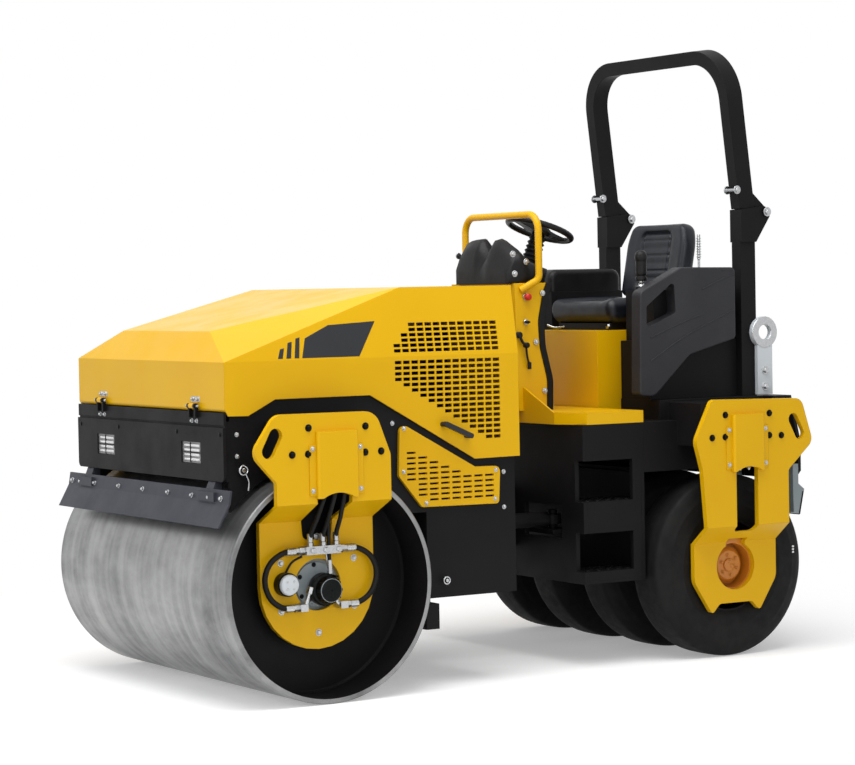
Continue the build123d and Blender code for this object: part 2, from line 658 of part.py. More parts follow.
def platform():
    corner = FLOOR_FRONT_X
    outline = [(corner, -480), (corner - 70, -REAR_Y), (STEP_X, -REAR_Y), (STEP_X, REAR_Y),
               (corner - 70, REAR_Y), (corner, 480)]
    floor = slab(outline, 1010, FLOOR_Z)
    guard = Plane.YZ * make_face(Polyline((CONSOLE_Y, FLOOR_Z), (CONSOLE_Y, FLOOR_Z + 100), (475, FLOOR_Z),
                                          close=True))
    guard = Pos(corner - 8, 0, 0) * extrude(guard, amount=8, dir=(1, 0, 0))
    return fused([floor, guard, other_side(guard)])


def seat_base():
    base = box(TANK_X, SEAT_BASE_X, -SEAT_BASE_Y, SEAT_BASE_Y, DECK_TOP, SEAT_Z - 30)
    return base + box(-1130, TANK_X, -SEAT_BASE_Y, SEAT_BASE_Y, POST_Z, SEAT_Z - 30)


def seat_cushion():
    cushion = box(-1150, SEAT_X, -SEAT_W / 2, SEAT_W / 2, SEAT_Z, 1520)
    return fillet(cushion.edges().filter_by(Axis.Z), 40)


def seat_backrest():
    back = plate([(-1130, 1525), (-1190, 1850), (-1245, 1850), (-1220, 1525)], -SEAT_W / 2 + 20,
                 SEAT_W / 2 - 20)
    return back


def seat_frame():
    tray = box(-1120, SEAT_X - 30, -200, 200, SEAT_Z - 30, SEAT_Z)
    link = box(-1210, -1155, -120, 120, SEAT_Z - 30, 1525) + box(-1160, -1110, -120, 120, SEAT_Z - 30, SEAT_Z)
    return tray + link


def console_rear_edge():
    """The rear edge of the console's side: a shallow S, from the floor up."""
    x = CONSOLE_X[0]
    return [(x - 5, FLOOR_Z), (x - 8, 1190), (x + 28, 1330), (x + 34, 1440), (x + 8, 1560), (x - 10, 1600)]


def console():
    outline = [*console_rear_edge(), (CONSOLE_X[1] + 15, 1600), (CONSOLE_X[1], FLOOR_Z)]
    return plate(outline, -CONSOLE_Y, CONSOLE_Y, [0, 150, 150, 150, 60, 0, 0, 0])


def console_trim():
    """Rubber edging along the console's rear edge."""
    edge = console_rear_edge()
    outline = [*edge, *[(x - TRIM_W, z) for x, z in reversed(edge)]]
    return plate(outline, CONSOLE_Y - 30, CONSOLE_Y + 6, [0, 150, 150, 150, 60, 0, 0, 60, 150, 150, 150, 0])


def shroud():
    """The instrument hood: a notch in its top, and a slope down to the left end."""
    outline = [(CONSOLE_X[1] + 35, 1600), (CONSOLE_X[1] + 35, 1690), (CONSOLE_X[1] - 20, 1795),
               (CONSOLE_X[1] - 75, 1795), (CONSOLE_X[0] - 30, 1690), (CONSOLE_X[0] - 12, 1600)]
    body = plate(outline, SHROUD_RIGHT_Y, CONSOLE_Y - 5, [10, 30, 35, 30, 40, 0])
    notch = box(CONSOLE_X[1] - 120, CONSOLE_X[1] + 60, -25, 15, 1735, 1830)
    slope = Plane.YZ * make_face(Polyline((60, 1800), (CONSOLE_Y, 1725), (CONSOLE_Y, 1900), (60, 1900), close=True))
    slope = Pos(CONSOLE_X[0] - 60, 0, 0) * extrude(slope, amount=300, dir=(1, 0, 0))
    return body - notch - slope


def wheel_place():
    return Plane(origin=WHEEL_POS, x_dir=(cos(radians(WHEEL_TILT)), 0, sin(radians(WHEEL_TILT))),
                 z_dir=(-sin(radians(WHEEL_TILT)), 0, cos(radians(WHEEL_TILT))))


def column():
    tube = Pos(0, 0, -95) * Cylinder(28, 150) + Pos(0, 0, -10) * Cylinder(12, 40)
    tube = wheel_place() * tube
    arm = plate([(CONSOLE_X[0] + 20, 1500), (CONSOLE_X[0] + 20, 1590), (CONSOLE_X[0] - 40, 1660), (-515, 1740),
                 (-500, 1640)], -30, 30) - console() - shroud()
    return tube + arm


def steering_wheel():
    rim = Torus(WHEEL_R - 14, 14)
    hub = Cylinder(45, 30) + Pos(0, 0, 0) * Box(2 * WHEEL_R - 30, 36, 12)
    hub = hub - Pos(0, 0, -10) * Cylinder(12 + RUN, 42)
    return wheel_place() * (rim + hub)


def handrail():
    end = (RAIL_X + 70, -CONSOLE_Y, 1570)
    turn = (RAIL_X, -RAIL_Y, 1615)
    path = FilletPolyline(end, turn, (RAIL_X, -RAIL_Y, RAIL_TOP), (RAIL_X, RAIL_Y, RAIL_TOP),
                          (turn[0], RAIL_Y, turn[2]), (end[0], CONSOLE_Y, end[2]), radius=[35, 70, 70, 35])
    heading = tuple(t - e for t, e in zip(turn, end))
    rail = sweep(Plane(origin=end, z_dir=heading) * Circle(RAIL_R), path=path)
    return rail - console()


def side_moulding():
    outline = [(-685, 1553), (-901, 1655), (-1190, 1652), (-1190, 1347), (-942, 1281), (-754, 1109), (-676, 1116)]
    window = [(-716, 1400), (-716, 1492), (-862, 1598), (-868, 1462)]
    body = plate(outline, MOULDING_IN_Y, MOULDING_IN_Y + 60, [30, 60, 20, 20, 60, 60, 20])
    body = fillet(body.faces().sort_by(Axis.Y)[-1].edges(), 8)
    return body - plate(window, 400, 600, 14)


def side_tank():
    body = box(POST_X + POST_A / 2, TANK_X, SEAT_BASE_Y + 5, MOULDING_IN_Y, POST_Z, 1345)
    return body + box(-1190, -800, SEAT_BASE_Y + 5, MOULDING_IN_Y, 1345, 1560)


def armrest():
    """The padded box beside the seat on the right."""
    body = box(-1185, -795, -MOULDING_IN_Y, -SEAT_BASE_Y - 5, 1560, 1660)
    body = fillet(body.edges().filter_by(Axis.Y).group_by(Axis.Z)[-1], 45)
    return fillet(body.edges().filter_by(Axis.X).group_by(Axis.Z)[-1], 25)


# Roll bar

def posts():
    post = box(POST_X - POST_A / 2, POST_X + POST_A / 2, POST_Y - POST_B / 2, POST_Y + POST_B / 2, POST_Z,
               POST_TOP)
    ears = []
    for y in (POST_Y - POST_B / 2 - 10, POST_Y + POST_B / 2):
        ear = plate([(POST_X + 40, 1760), (POST_X + 40, 1900), (FOLD_X + 10, 1915), (FOLD_X - 20, 1900),
                     (FOLD_X - 20, 1870), (POST_X - 40, 1760)], y, y + 10)
        ears.append(ear)
    pin = rod_y(FOLD_X, POST_Y - POST_B / 2 - 18, POST_Y + POST_B / 2 + 18, FOLD_Z, FOLD_PIN_R)
    return fused([post, *ears, pin])


def arch():
    foot = POST_TOP + 3
    rise = ARCH_TOP - foot - 30
    shift = rise * sin(radians(ARCH_LEAN))
    path = FilletPolyline((POST_X, -POST_Y, foot), (POST_X + shift, -POST_Y, foot + rise),
                          (POST_X + shift, POST_Y, foot + rise), (POST_X, POST_Y, foot), radius=ARCH_R)
    start = Plane(origin=(POST_X, -POST_Y, foot), x_dir=(1, 0, 0), z_dir=(shift, 0, rise))
    tube = sweep(start * Rectangle(POST_A, POST_B), path=path)
    tube = tube - box(-1500, -1000, -700, 700, foot - 100, foot)
    width = POST_B / 2 - SIDE_PLAY
    for sign in (1, -1):
        y = sign * POST_Y
        lug = plate([(POST_X - 30, foot + 10), (POST_X - 30, foot + 70), (FOLD_X, FOLD_Z + 24), (FOLD_X, FOLD_Z - 20),
                     (POST_X - 46, FOLD_Z - 10), (POST_X - 46, foot + 10)], y - width, y + width)
        lug = lug + rod_y(FOLD_X, y - width, y + width, FOLD_Z, 22)
        tube = tube + lug - rod_y(FOLD_X, y - 50, y + 50, FOLD_Z, FOLD_PIN_R + RUN)
    return tube


def lifting_link():
    y0 = POST_Y + POST_B / 2
    ring = rod_y(LINK_X, y0, y0 + LINK_T, LINK_Z, LINK_R)
    strap = box(LINK_X - 40, LINK_X + 40, y0, y0 + LINK_T, POST_Z + 5, LINK_Z)
    return ring + strap - rod_y(LINK_X, y0 - 5, y0 + LINK_T + 5, LINK_Z, LINK_HOLE_R)


def tyre_scraper():
    parts = []
    for y in (TYRE_Y, TYRE_Y - TWIN_PITCH):
        x, z = TYRE_REAR_X, TYRE_R
        holder = plate([(x + 12.5, WHEEL_TOP), (x + 42.5, WHEEL_TOP), (x + 42.5, z + 312), (x + 39.5, z + 204),
                        (x + 7.5, z + 194), (x - 19.5, z + 302), (x + 12.5, z + 327)], y - 90, y + 90)
        parts.append(holder)
    return parts


def rear_lamp():
    return box(REAR_END_X - 12, REAR_END_X, 480, 600, 990, 1050)


def lever():
    """The drive lever beside the seat: rod, gaiter and knob."""
    x, y = -800.0, 400.0
    rod = rod_z(x, y, 1560, 1620, 7)
    knob = Pos(x, y, 1660) * Cylinder(24, 85)
    return fused([rod, fillet(knob.edges(), 14), rod_z(x, y, 1560, 1575, 28)])


def build():
    node("drum", drum())
    motor, fittings = drum_motor()
    sided("drum_motor", motor)
    node("hose_fittings", [pair(item) for item in fittings])
    node("drum_hoses", [pair(item) for item in hose_loops()])
    node("drop_hoses", [pair(item) for item in drop_hoses()])
    sided("yoke_front", front_yoke())
    node("yoke_covers_front", pair(yoke_cover(DRUM_X - 8, 90, 795, 1050)))
    node("front_frame", front_frame())
    node("front_panel", front_panel())
    node("headlamps", lamps())
    node("hood", hood())
    node("hood_handles", pair(hood_handle()))
    sided("lower_grille", lower_grille())
    node("engine", engine())
    node("front_scraper", front_scraper())
    node("rear_drum_scraper", rear_scraper())
    barrel, rod = cylinder_parts()
    node("steering_barrel", barrel)
    node("steering_rod", rod)
    node("rear_frame", rear_frame())
    node("step_frame", step_frame())
    sided("step_panel", step_panel())
    sided("yoke_rear", rear_yoke())
    node("yoke_covers_rear", pair(yoke_cover(AXLE_X + 5, 82, 795, 1035)))
    sided("wheel_motor", wheel_motor())
    for name, sign in (("left", 1), ("right", -1)):
        node("tyres_" + name, [tyre(sign * TYRE_Y), tyre(sign * (TYRE_Y - TWIN_PITCH))])
    sided("wheel_hub", wheel_hub())
    node("tyre_scrapers", pair(Compound(flat(tyre_scraper()))))
    node("platform", platform())
    node("seat_base", seat_base())
    node("seat_frame", seat_frame())
    node("seat_cushion", seat_cushion())
    node("seat_backrest", seat_backrest())
    node("console", console())
    node("console_trim", pair(console_trim()))
    node("console_shroud", shroud())
    node("steering_column", column())
    node("steering_wheel", steering_wheel())
    node("handrail", handrail())
    sided("side_moulding", side_moulding())
    node("side_tanks", pair(side_tank()))
    node("armrest", armrest())
    node("rops_posts", pair(posts()))
    node("rops_arch", arch())
    node("rear_lamps", pair(rear_lamp()))
    node("drive_lever", lever())
    node("lifting_links", pair(lifting_link()))


build()
os.makedirs("parts", exist_ok=True)
for name, shape in NODES.items():
    export_step(shape, "parts/" + name + ".step")
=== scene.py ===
# Looks for the road roller. Metres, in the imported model's own frame: +X forward, +Y left, +Z up.
import json
from math import cos, pi, radians, sin, sqrt

import bmesh
import bpy
from mathutils import Matrix, Vector


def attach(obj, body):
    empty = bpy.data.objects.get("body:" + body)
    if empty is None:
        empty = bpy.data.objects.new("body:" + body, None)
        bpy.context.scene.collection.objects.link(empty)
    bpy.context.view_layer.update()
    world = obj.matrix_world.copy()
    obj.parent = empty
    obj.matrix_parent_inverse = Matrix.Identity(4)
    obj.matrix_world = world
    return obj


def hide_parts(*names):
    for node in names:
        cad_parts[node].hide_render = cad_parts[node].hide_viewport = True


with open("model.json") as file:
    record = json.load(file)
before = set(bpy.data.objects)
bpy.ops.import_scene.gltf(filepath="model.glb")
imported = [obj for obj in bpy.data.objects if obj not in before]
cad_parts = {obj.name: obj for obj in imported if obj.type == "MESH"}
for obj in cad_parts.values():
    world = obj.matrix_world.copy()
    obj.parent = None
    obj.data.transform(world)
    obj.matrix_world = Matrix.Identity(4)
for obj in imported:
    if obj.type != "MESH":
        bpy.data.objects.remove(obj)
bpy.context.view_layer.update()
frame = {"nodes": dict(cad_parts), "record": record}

NODES = frame["nodes"]
SCENE = bpy.context.scene


# Camera

CAMERA_AT = (5.889, 9.613, 1.581)
CAMERA_TURN = (238.66, -2.01, -1.06)  # yaw, pitch and roll in degrees
SENSOR_MM, LENS_MM = 36.0, 111.75


def make_camera():
    yaw, pitch, roll = (radians(angle) for angle in CAMERA_TURN)
    ahead = Vector((cos(pitch) * cos(yaw), cos(pitch) * sin(yaw), sin(pitch)))
    right = ahead.cross(Vector((0, 0, 1))).normalized()
    up = right.cross(ahead)
    right_rolled = right * cos(roll) + up * sin(roll)
    up_rolled = up * cos(roll) - right * sin(roll)
    data = bpy.data.cameras.new("camera")
    data.sensor_width = SENSOR_MM
    data.lens = LENS_MM
    data.clip_end = 200.0
    camera = bpy.data.objects.new("camera", data)
    axes = Matrix((right_rolled, up_rolled, -ahead)).transposed()
    camera.matrix_world = Matrix.Translation(CAMERA_AT) @ axes.to_4x4()
    SCENE.collection.objects.link(camera)
    SCENE.camera = camera


# Materials

def new_material(name, colour, metallic=0.0, rough=0.5, coat=0.0, specular=0.5):
    mat = bpy.data.materials.new(name)
    mat.use_nodes = True
    tree = mat.node_tree
    shader = tree.nodes["Principled BSDF"]
    shader.inputs["Base Color"].default_value = (*colour, 1)
    shader.inputs["Metallic"].default_value = metallic
    shader.inputs["Roughness"].default_value = rough
    shader.inputs["Coat Weight"].default_value = coat
    shader.inputs["Coat Roughness"].default_value = 0.12
    shader.inputs["Specular IOR Level"].default_value = specular
    return mat, tree, shader


def add(tree, kind, **values):
    item = tree.nodes.new(kind)
    for key, value in values.items():
        if key in item.inputs:
            item.inputs[key].default_value = value
        else:
            setattr(item, key, value)
    return item


def noise(tree, scale, detail=4.0, stretch=(1, 1, 1), rough=0.55):
    place = add(tree, "ShaderNodeTexCoord")
    mapping = add(tree, "ShaderNodeMapping")
    mapping.inputs["Scale"].default_value = stretch
    tree.links.new(place.outputs["Object"], mapping.inputs["Vector"])
    tex = add(tree, "ShaderNodeTexNoise", Scale=scale, Detail=detail, Roughness=rough)
    tree.links.new(mapping.outputs["Vector"], tex.inputs["Vector"])
    return tex.outputs["Fac"]


def remap(tree, value, low, high, to_low, to_high):
    item = add(tree, "ShaderNodeMapRange")
    ends = (("From Min", low), ("From Max", high), ("To Min", to_low), ("To Max", to_high))
    for key, number in ends:
        item.inputs[key].default_value = number
    tree.links.new(value, item.inputs["Value"])
    return item.outputs["Result"]


def blend_colour(tree, factor, first, second):
    item = add(tree, "ShaderNodeMix", data_type="RGBA")
    tree.links.new(factor, item.inputs[0])
    for index, colour in ((6, first), (7, second)):
        if isinstance(colour, tuple):
            item.inputs[index].default_value = (*colour, 1)
        else:
            tree.links.new(colour, item.inputs[index])
    return item.outputs[2]


def bump(tree, shader, height, strength, distance, rounding=0.0):
    item = add(tree, "ShaderNodeBump", Strength=strength, Distance=distance)
    tree.links.new(height, item.inputs["Height"])
    if rounding:
        edge = add(tree, "ShaderNodeBevel", samples=4, Radius=rounding)
        tree.links.new(edge.outputs["Normal"], item.inputs["Normal"])
    tree.links.new(item.outputs["Normal"], shader.inputs["Normal"])


def paint(name, colour, shade, rough, coat, rounding=0.004, peel=0.12, specular=0.5):
    """Sprayed paint: slight drift in tone, orange peel, a little dust that dulls it."""
    mat, tree, shader = new_material(name, colour, 0.0, rough, coat, specular)
    drift = remap(tree, noise(tree, 1.7, 3.0), 0.35, 0.7, 0, 1)
    tree.links.new(blend_colour(tree, drift, colour, shade), shader.inputs["Base Color"])
    dust = remap(tree, noise(tree, 6.0, 8.0), 0.4, 0.75, rough, rough + 0.16)
    tree.links.new(dust, shader.inputs["Roughness"])
    bump(tree, shader, noise(tree, 260.0, 2.0), peel, 0.001, rounding)
    return mat


def rolled_steel(name):
    """The drum's skin: soft rings from rolling, cloudy patches and fine pits."""
    mat, tree, shader = new_material(name, (0.26, 0.26, 0.265), 0.8, 0.42)
    rings = noise(tree, 2.6, 3.0, (0.25, 6.0, 0.25))
    cloud = noise(tree, 3.2, 7.0, (1.0, 0.7, 1.0), 0.66)
    first = blend_colour(tree, remap(tree, cloud, 0.34, 0.66, 0, 1),
                         (0.135, 0.137, 0.141), (0.335, 0.337, 0.339))
    second = blend_colour(tree, remap(tree, rings, 0.40, 0.66, 0.0, 0.45), first, (0.44, 0.44, 0.44))
    tree.links.new(second, shader.inputs["Base Color"])
    tree.links.new(remap(tree, cloud, 0.3, 0.7, 0.50, 0.34), shader.inputs["Roughness"])
    bump(tree, shader, noise(tree, 60.0, 7.0, (0.7, 1.8, 0.7)), 0.14, 0.001)
    return mat


def bare_metal(name, colour, rough, metallic=1.0):
    mat, tree, shader = new_material(name, colour, metallic, rough)
    fleck = noise(tree, 120.0, 4.0)
    tone = tuple(c * 0.86 for c in colour)
    tree.links.new(blend_colour(tree, remap(tree, fleck, 0.35, 0.7, 0, 1), colour, tone),
                   shader.inputs["Base Color"])
    tree.links.new(remap(tree, noise(tree, 40.0, 5.0), 0.3, 0.7, rough - 0.08, rough + 0.12),
                   shader.inputs["Roughness"])
    bump(tree, shader, fleck, 0.08, 0.0006, 0.0012)
    return mat


def rubber(name, colour, dusty, rough, grain=320.0, depth=0.25):
    mat, tree, shader = new_material(name, colour, 0.0, rough, 0.0, 0.15)
    dust = remap(tree, noise(tree, 4.0, 8.0, (1, 1, 1), 0.65), 0.42, 0.75, 0, 1)
    tree.links.new(blend_colour(tree, dust, colour, dusty), shader.inputs["Base Color"])
    tree.links.new(remap(tree, noise(tree, 30.0, 5.0), 0.3, 0.7, rough - 0.08, rough + 0.1),
                   shader.inputs["Roughness"])
    bump(tree, shader, noise(tree, grain, 4.0), depth, 0.0012, 0.0015)
    return mat


def moulded(name, colour, rough, grain=420.0, depth=0.3, rounding=0.003, specular=0.3):
    """Moulded plastic with a fine leather-like grain."""
    mat, tree, shader = new_material(name, colour, 0.0, rough, 0.0, specular)
    light = tuple(min(1, c * 1.35 + 0.002) for c in colour)
    patch = remap(tree, noise(tree, 5.0, 6.0), 0.42, 0.72, 0, 1)
    tree.links.new(blend_colour(tree, patch, colour, light), shader.inputs["Base Color"])
    cells = add(tree, "ShaderNodeTexVoronoi", Scale=grain)
    place = add(tree, "ShaderNodeTexCoord")
    tree.links.new(place.outputs["Object"], cells.inputs["Vector"])
    tree.links.new(remap(tree, noise(tree, 25.0, 4.0), 0.3, 0.7, rough - 0.06, rough + 0.1),
                   shader.inputs["Roughness"])
    bump(tree, shader, cells.outputs["Distance"], depth, 0.0008, rounding)
    return mat


def lens(name, colour, rough):
    mat, tree, shader = new_material(name, colour, 0.0, rough, 0.4)
    lines = add(tree, "ShaderNodeTexWave", bands_direction="Y", Scale=55.0, Distortion=0.4)
    place = add(tree, "ShaderNodeTexCoord")
    tree.links.new(place.outputs["Object"], lines.inputs["Vector"])
    tone = tuple(c * 0.55 for c in colour)
    tree.links.new(blend_colour(tree, lines.outputs["Fac"], colour, tone), shader.inputs["Base Color"])
    bump(tree, shader, lines.outputs["Fac"], 0.5, 0.001, 0.001)
    return mat


# Each finish: the function that makes it, then its colours and settings.

FINISHES = {
    "yellow_paint": (paint, (0.70, 0.400, 0.002), (0.67, 0.370, 0.002), 0.30, 0.08, 0.004, 0.12, 0.16),
    "black_paint": (paint, (0.0062, 0.0058, 0.0064), (0.0095, 0.0090, 0.0100), 0.42, 0.0, 0.004, 0.12, 0.10),
    "drum_steel": (rolled_steel,),
    "grey_paint": (paint, (0.030, 0.032, 0.043), (0.024, 0.026, 0.036), 0.42, 0.0, 0.004, 0.12, 0.3),
    "pale_grey": (paint, (0.25, 0.29, 0.31), (0.20, 0.24, 0.26), 0.42, 0.1),
    "zinc_paint": (paint, (0.60, 0.64, 0.67), (0.52, 0.56, 0.59), 0.38, 0.1),
    "orange_paint": (paint, (0.56, 0.20, 0.012), (0.42, 0.14, 0.010), 0.38, 0.2),
    "silver_steel": (bare_metal, (0.52, 0.53, 0.54), 0.27),
    "black_bolt": (bare_metal, (0.013, 0.014, 0.014), 0.42),
    "tyre_rubber": (rubber, (0.0065, 0.0062, 0.0066), (0.0140, 0.0135, 0.0130), 0.66),
    "hose_rubber": (rubber, (0.006, 0.006, 0.006), (0.010, 0.010, 0.010), 0.45, 600.0, 0.15),
    "dark_plastic": (moulded, (0.0145, 0.0148, 0.0175), 0.46),
    "smooth_plastic": (moulded, (0.0055, 0.0053, 0.0056), 0.38, 900.0, 0.08, 0.006, 0.18),
    "seat_vinyl": (moulded, (0.0065, 0.0080, 0.0120), 0.36, 520.0, 0.22, 0.0, 0.30),
    "lamp_lens": (lens, (0.20, 0.20, 0.205), 0.22),
    "red_lens": (lens, (0.45, 0.012, 0.008), 0.2),
    "red_plastic": (moulded, (0.50, 0.02, 0.01), 0.3, 900.0, 0.05),
    "white_paint": (paint, (0.84, 0.84, 0.84), (0.76, 0.76, 0.76), 0.35, 0.2),
    "plate_film": (paint, (0.016, 0.017, 0.020), (0.022, 0.023, 0.027), 0.25, 0.1, 0.004, 0.12, 0.3),
}
MAT = {}


def make_materials():
    for name, (make, *values) in FINISHES.items():
        MAT[name] = make(name, *values)


# Mesh building

class Pile:
    """Gathers small solids into one piece."""

    def __init__(self):
        self.mesh = bmesh.new()

    def ring_solid(self, rings):
        """Skin over a list of vertex rings, each a list of points in order, with both ends closed."""
        rows = [[self.mesh.verts.new(p) for p in ring] for ring in rings]
        count = len(rows[0])
        for a, b in zip(rows, rows[1:]):
            for i in range(count):
                j = (i + 1) % count
                self.mesh.faces.new((a[i], a[j], b[j], b[i]))
        self.mesh.faces.new(list(reversed(rows[0])))
        self.mesh.faces.new(rows[-1])

    def block(self, low, high, bevel=0.0):
        """A box between two corners."""
        made = bmesh.ops.create_cube(self.mesh, size=1.0)["verts"]
        low, high = Vector(low), Vector(high)
        centre, size = (low + high) / 2, high - low
        for v in made:
            v.co = Vector(a * b for a, b in zip(v.co, size))
        if bevel:
            edges = dict.fromkeys(e for v in made for e in v.link_edges)
            out = bmesh.ops.bevel(self.mesh, geom=list(edges), offset=bevel, segments=2,
                                  affect="EDGES", profile=0.5)
            made = {v for f in out["faces"] for v in f.verts} | {v for v in made if v.is_valid}
        for v in made:
            v.co = v.co + centre

    def plate(self, outline, y0, y1, bevel=0.0):
        """A prism: an outline in X and Z, from y0 to y1."""
        bottom = [self.mesh.verts.new((x, y0, z)) for x, z in outline]
        top = [self.mesh.verts.new((x, y1, z)) for x, z in outline]
        faces = [self.mesh.faces.new(bottom), self.mesh.faces.new(list(reversed(top)))]
        count = len(outline)
        for i in range(count):
            j = (i + 1) % count
            faces.append(self.mesh.faces.new((bottom[j], bottom[i], top[i], top[j])))
        bmesh.ops.recalc_face_normals(self.mesh, faces=faces)
        if bevel:
            edges = dict.fromkeys(e for f in faces for e in f.edges)
            bmesh.ops.bevel(self.mesh, geom=list(edges), offset=bevel, segments=2,
                            affect="EDGES", profile=0.5)

    def bar(self, start, end, r, r_end=None, sides=20, bevel=0.0):
        """A round or many-sided bar, or a cone where r_end differs."""
        start, end = Vector(start), Vector(end)
        axis = (end - start).normalized()
        side = axis.orthogonal().normalized()
        other = axis.cross(side)
        r_end = r if r_end is None else r_end
        stations = [(start, r), (end, r_end)]
        if bevel:
            stations = [(start, r - bevel), (start + axis * bevel, r), (end - axis * bevel, r_end),
                        (end, r_end - bevel)]
        rings = []
        for centre, radius in stations:
            rings.append([centre + (side * cos(a) + other * sin(a)) * radius
                          for a in (2 * pi * i / sides for i in range(sides))])
        self.ring_solid(rings)

    def bolt(self, at, normal, r=0.013, head=0.009, washer=1.45):
        """A hexagon head with a chamfer, on a washer."""
        at, normal = Vector(at), Vector(normal).normalized()
        self.bar(at - normal * 0.002, at + normal * 0.0025, r * washer, sides=24, bevel=0.0006)
        base = at + normal * 0.0025
        self.bar(base, base + normal * head, r, sides=6, bevel=r * 0.14)
        self.bar(base + normal * head * 0.9, base + normal * (head + 0.0012), r * 0.72, r * 0.66, sides=18)

    def socket_bolt(self, at, normal, r=0.010, head=0.008):
        """A round head on a washer."""
        at, normal = Vector(at), Vector(normal).normalized()
        self.bar(at - normal * 0.002, at + normal * 0.0022, r * 1.5, sides=24, bevel=0.0006)
        self.bar(at, at + normal * head, r, sides=24, bevel=r * 0.18)

    def lathe(self, profile, centre, axis="Y", sides=96):
        """Turn a closed profile of (distance along the axis, radius) pairs."""
        rows = []
        for along, radius in profile:
            row = []
            for i in range(sides):
                a = 2 * pi * i / sides
                if axis == "Y":
                    p = (radius * cos(a), along, radius * sin(a))
                elif axis == "X":
                    p = (along, radius * cos(a), radius * sin(a))
                else:
                    p = (radius * cos(a), radius * sin(a), along)
                row.append(self.mesh.verts.new(Vector(p) + Vector(centre)))
            rows.append(row)
        for k, row in enumerate(rows):
            after = rows[(k + 1) % len(rows)]
            for i in range(sides):
                j = (i + 1) % sides
                self.mesh.faces.new((row[i], row[j], after[j], after[i]))

    def pipe(self, points, r, sides=14, smooth=6):
        """A round tube along a smooth line through the points."""
        line = through(points, smooth)
        rings = []
        side = None
        for i, p in enumerate(line):
            ahead = (line[min(i + 1, len(line) - 1)] - line[max(i - 1, 0)]).normalized()
            side = ahead.orthogonal() if side is None else side - ahead * side.dot(ahead)
            side = side.normalized()
            other = ahead.cross(side)
            rings.append([p + (side * cos(a) + other * sin(a)) * r
                          for a in (2 * pi * k / sides for k in range(sides))])
        self.ring_solid(rings)

    def move(self, matrix):
        for v in self.mesh.verts:
            v.co = matrix @ v.co

    def done(self, name, material, body, slot=None, angle=32.0, extra=()):
        """Turns the gathered solids into one piece that rides on a body."""
        bmesh.ops.recalc_face_normals(self.mesh, faces=self.mesh.faces[:])
        data = bpy.data.meshes.new(name)
        self.mesh.to_mesh(data)
        self.mesh.free()
        for key in (material, *extra):
            data.materials.append(MAT[key])
        data.shade_smooth()
        data.set_sharp_from_angle(angle=radians(angle))
        piece = bpy.data.objects.new(name, data)
        SCENE.collection.objects.link(piece)
        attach(piece, body)
        return piece


def through(points, steps):
    """A smooth line through the points (Catmull-Rom)."""
    pts = [Vector(p) for p in points]
    pts = [pts[0] * 2 - pts[1], *pts, pts[-1] * 2 - pts[-2]]
    out = []
    for a, b, c, d in zip(pts, pts[1:], pts[2:], pts[3:]):
        for i in range(steps):
            t = i / steps
            out.append(0.5 * ((2 * b) + (c - a) * t + (2 * a - 5 * b + 4 * c - d) * t * t
                              + (3 * b - a - 3 * c + d) * t ** 3))
    return [*out, pts[-2]]


# Places that several pieces share. The left side has y above zero and the right side mirrors it.

BOTH = (1, -1)
SIDES = (("left", 1), ("right", -1))
DRUM_X, DRUM_Z, DRUM_R = 0.950, 0.450, 0.450
TYRE_X, TYRE_R = -1.040, 0.3875
TYRE_ROWS = (0.590, 0.200)
YOKE_Y, COVER_Y = 0.810, 0.815
FRAME_Y, GRILLE_Y = 0.655, 0.670
HINGE_ROWS = (-0.425, 0.425)
PORT_Y, PORT_Z, LOW_PORT_Z = 0.690, 0.588, 0.370
MOTOR = (0.932, 0, 0.432)
ACCUMULATOR = (1.098, 0, 0.462)
LAMP_X = 1.3445
LEVER = (-0.800, 0.400)
SPRING = (-1.222, 0.252)
POST_Y = 0.500
FOLD_X, FOLD_Z = -1.370, 1.890
LOCK_X, LOCK_Z = -1.218, 1.985
LINK_X, LINK_Y = -1.345, 0.550


# CAD nodes that stay get their finish here

SPECIAL_FINISH = {
    "drum_motor_left": "pale_grey", "drum_motor_right": "pale_grey", "side_tanks": "black_paint",
    "armrest": "smooth_plastic", "drive_lever": "smooth_plastic", "engine": "black_paint",
    "tyre_scrapers": "pale_grey", "lifting_links": "zinc_paint",
}


def dress_nodes():
    for part in frame["record"]["subparts"]:
        name = part["node"]
        node = NODES[name]
        material = MAT[SPECIAL_FINISH.get(name, part["material_slot"])]
        if not node.material_slots:
            node.data.materials.append(material)
        for holder in node.material_slots:
            holder.link = "OBJECT"
            holder.material = material


# Drum, tyres and hubs

def drum():
    """The rolled shell, with a web near each end that carries the motor."""
    half, wall, bore, chamfer = 0.770, 0.430, 0.0605, 0.004
    outside = [(-half, wall), (-half, DRUM_R - chamfer), (-half + chamfer, DRUM_R),
               (half - chamfer, DRUM_R), (half, DRUM_R - chamfer), (half, wall)]
    web = [(0.590, wall), (0.580, 0.422), (0.580, bore), (0.560, bore), (0.560, 0.422), (0.555, wall)]
    pile = Pile()
    pile.lathe([*outside, *web, *[(-y, r) for y, r in reversed(web)]], (DRUM_X, 0, DRUM_Z), sides=192)
    for face in pile.mesh.faces:
        middle = face.calc_center_median()
        radius = sqrt((middle.x - DRUM_X) ** 2 + (middle.z - DRUM_Z) ** 2)
        face.material_index = 0 if radius > wall + 0.0005 else 1
    piece = pile.done("drum_skin", "drum_steel", "drum", angle=25.0, extra=("black_paint",))
    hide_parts("drum")


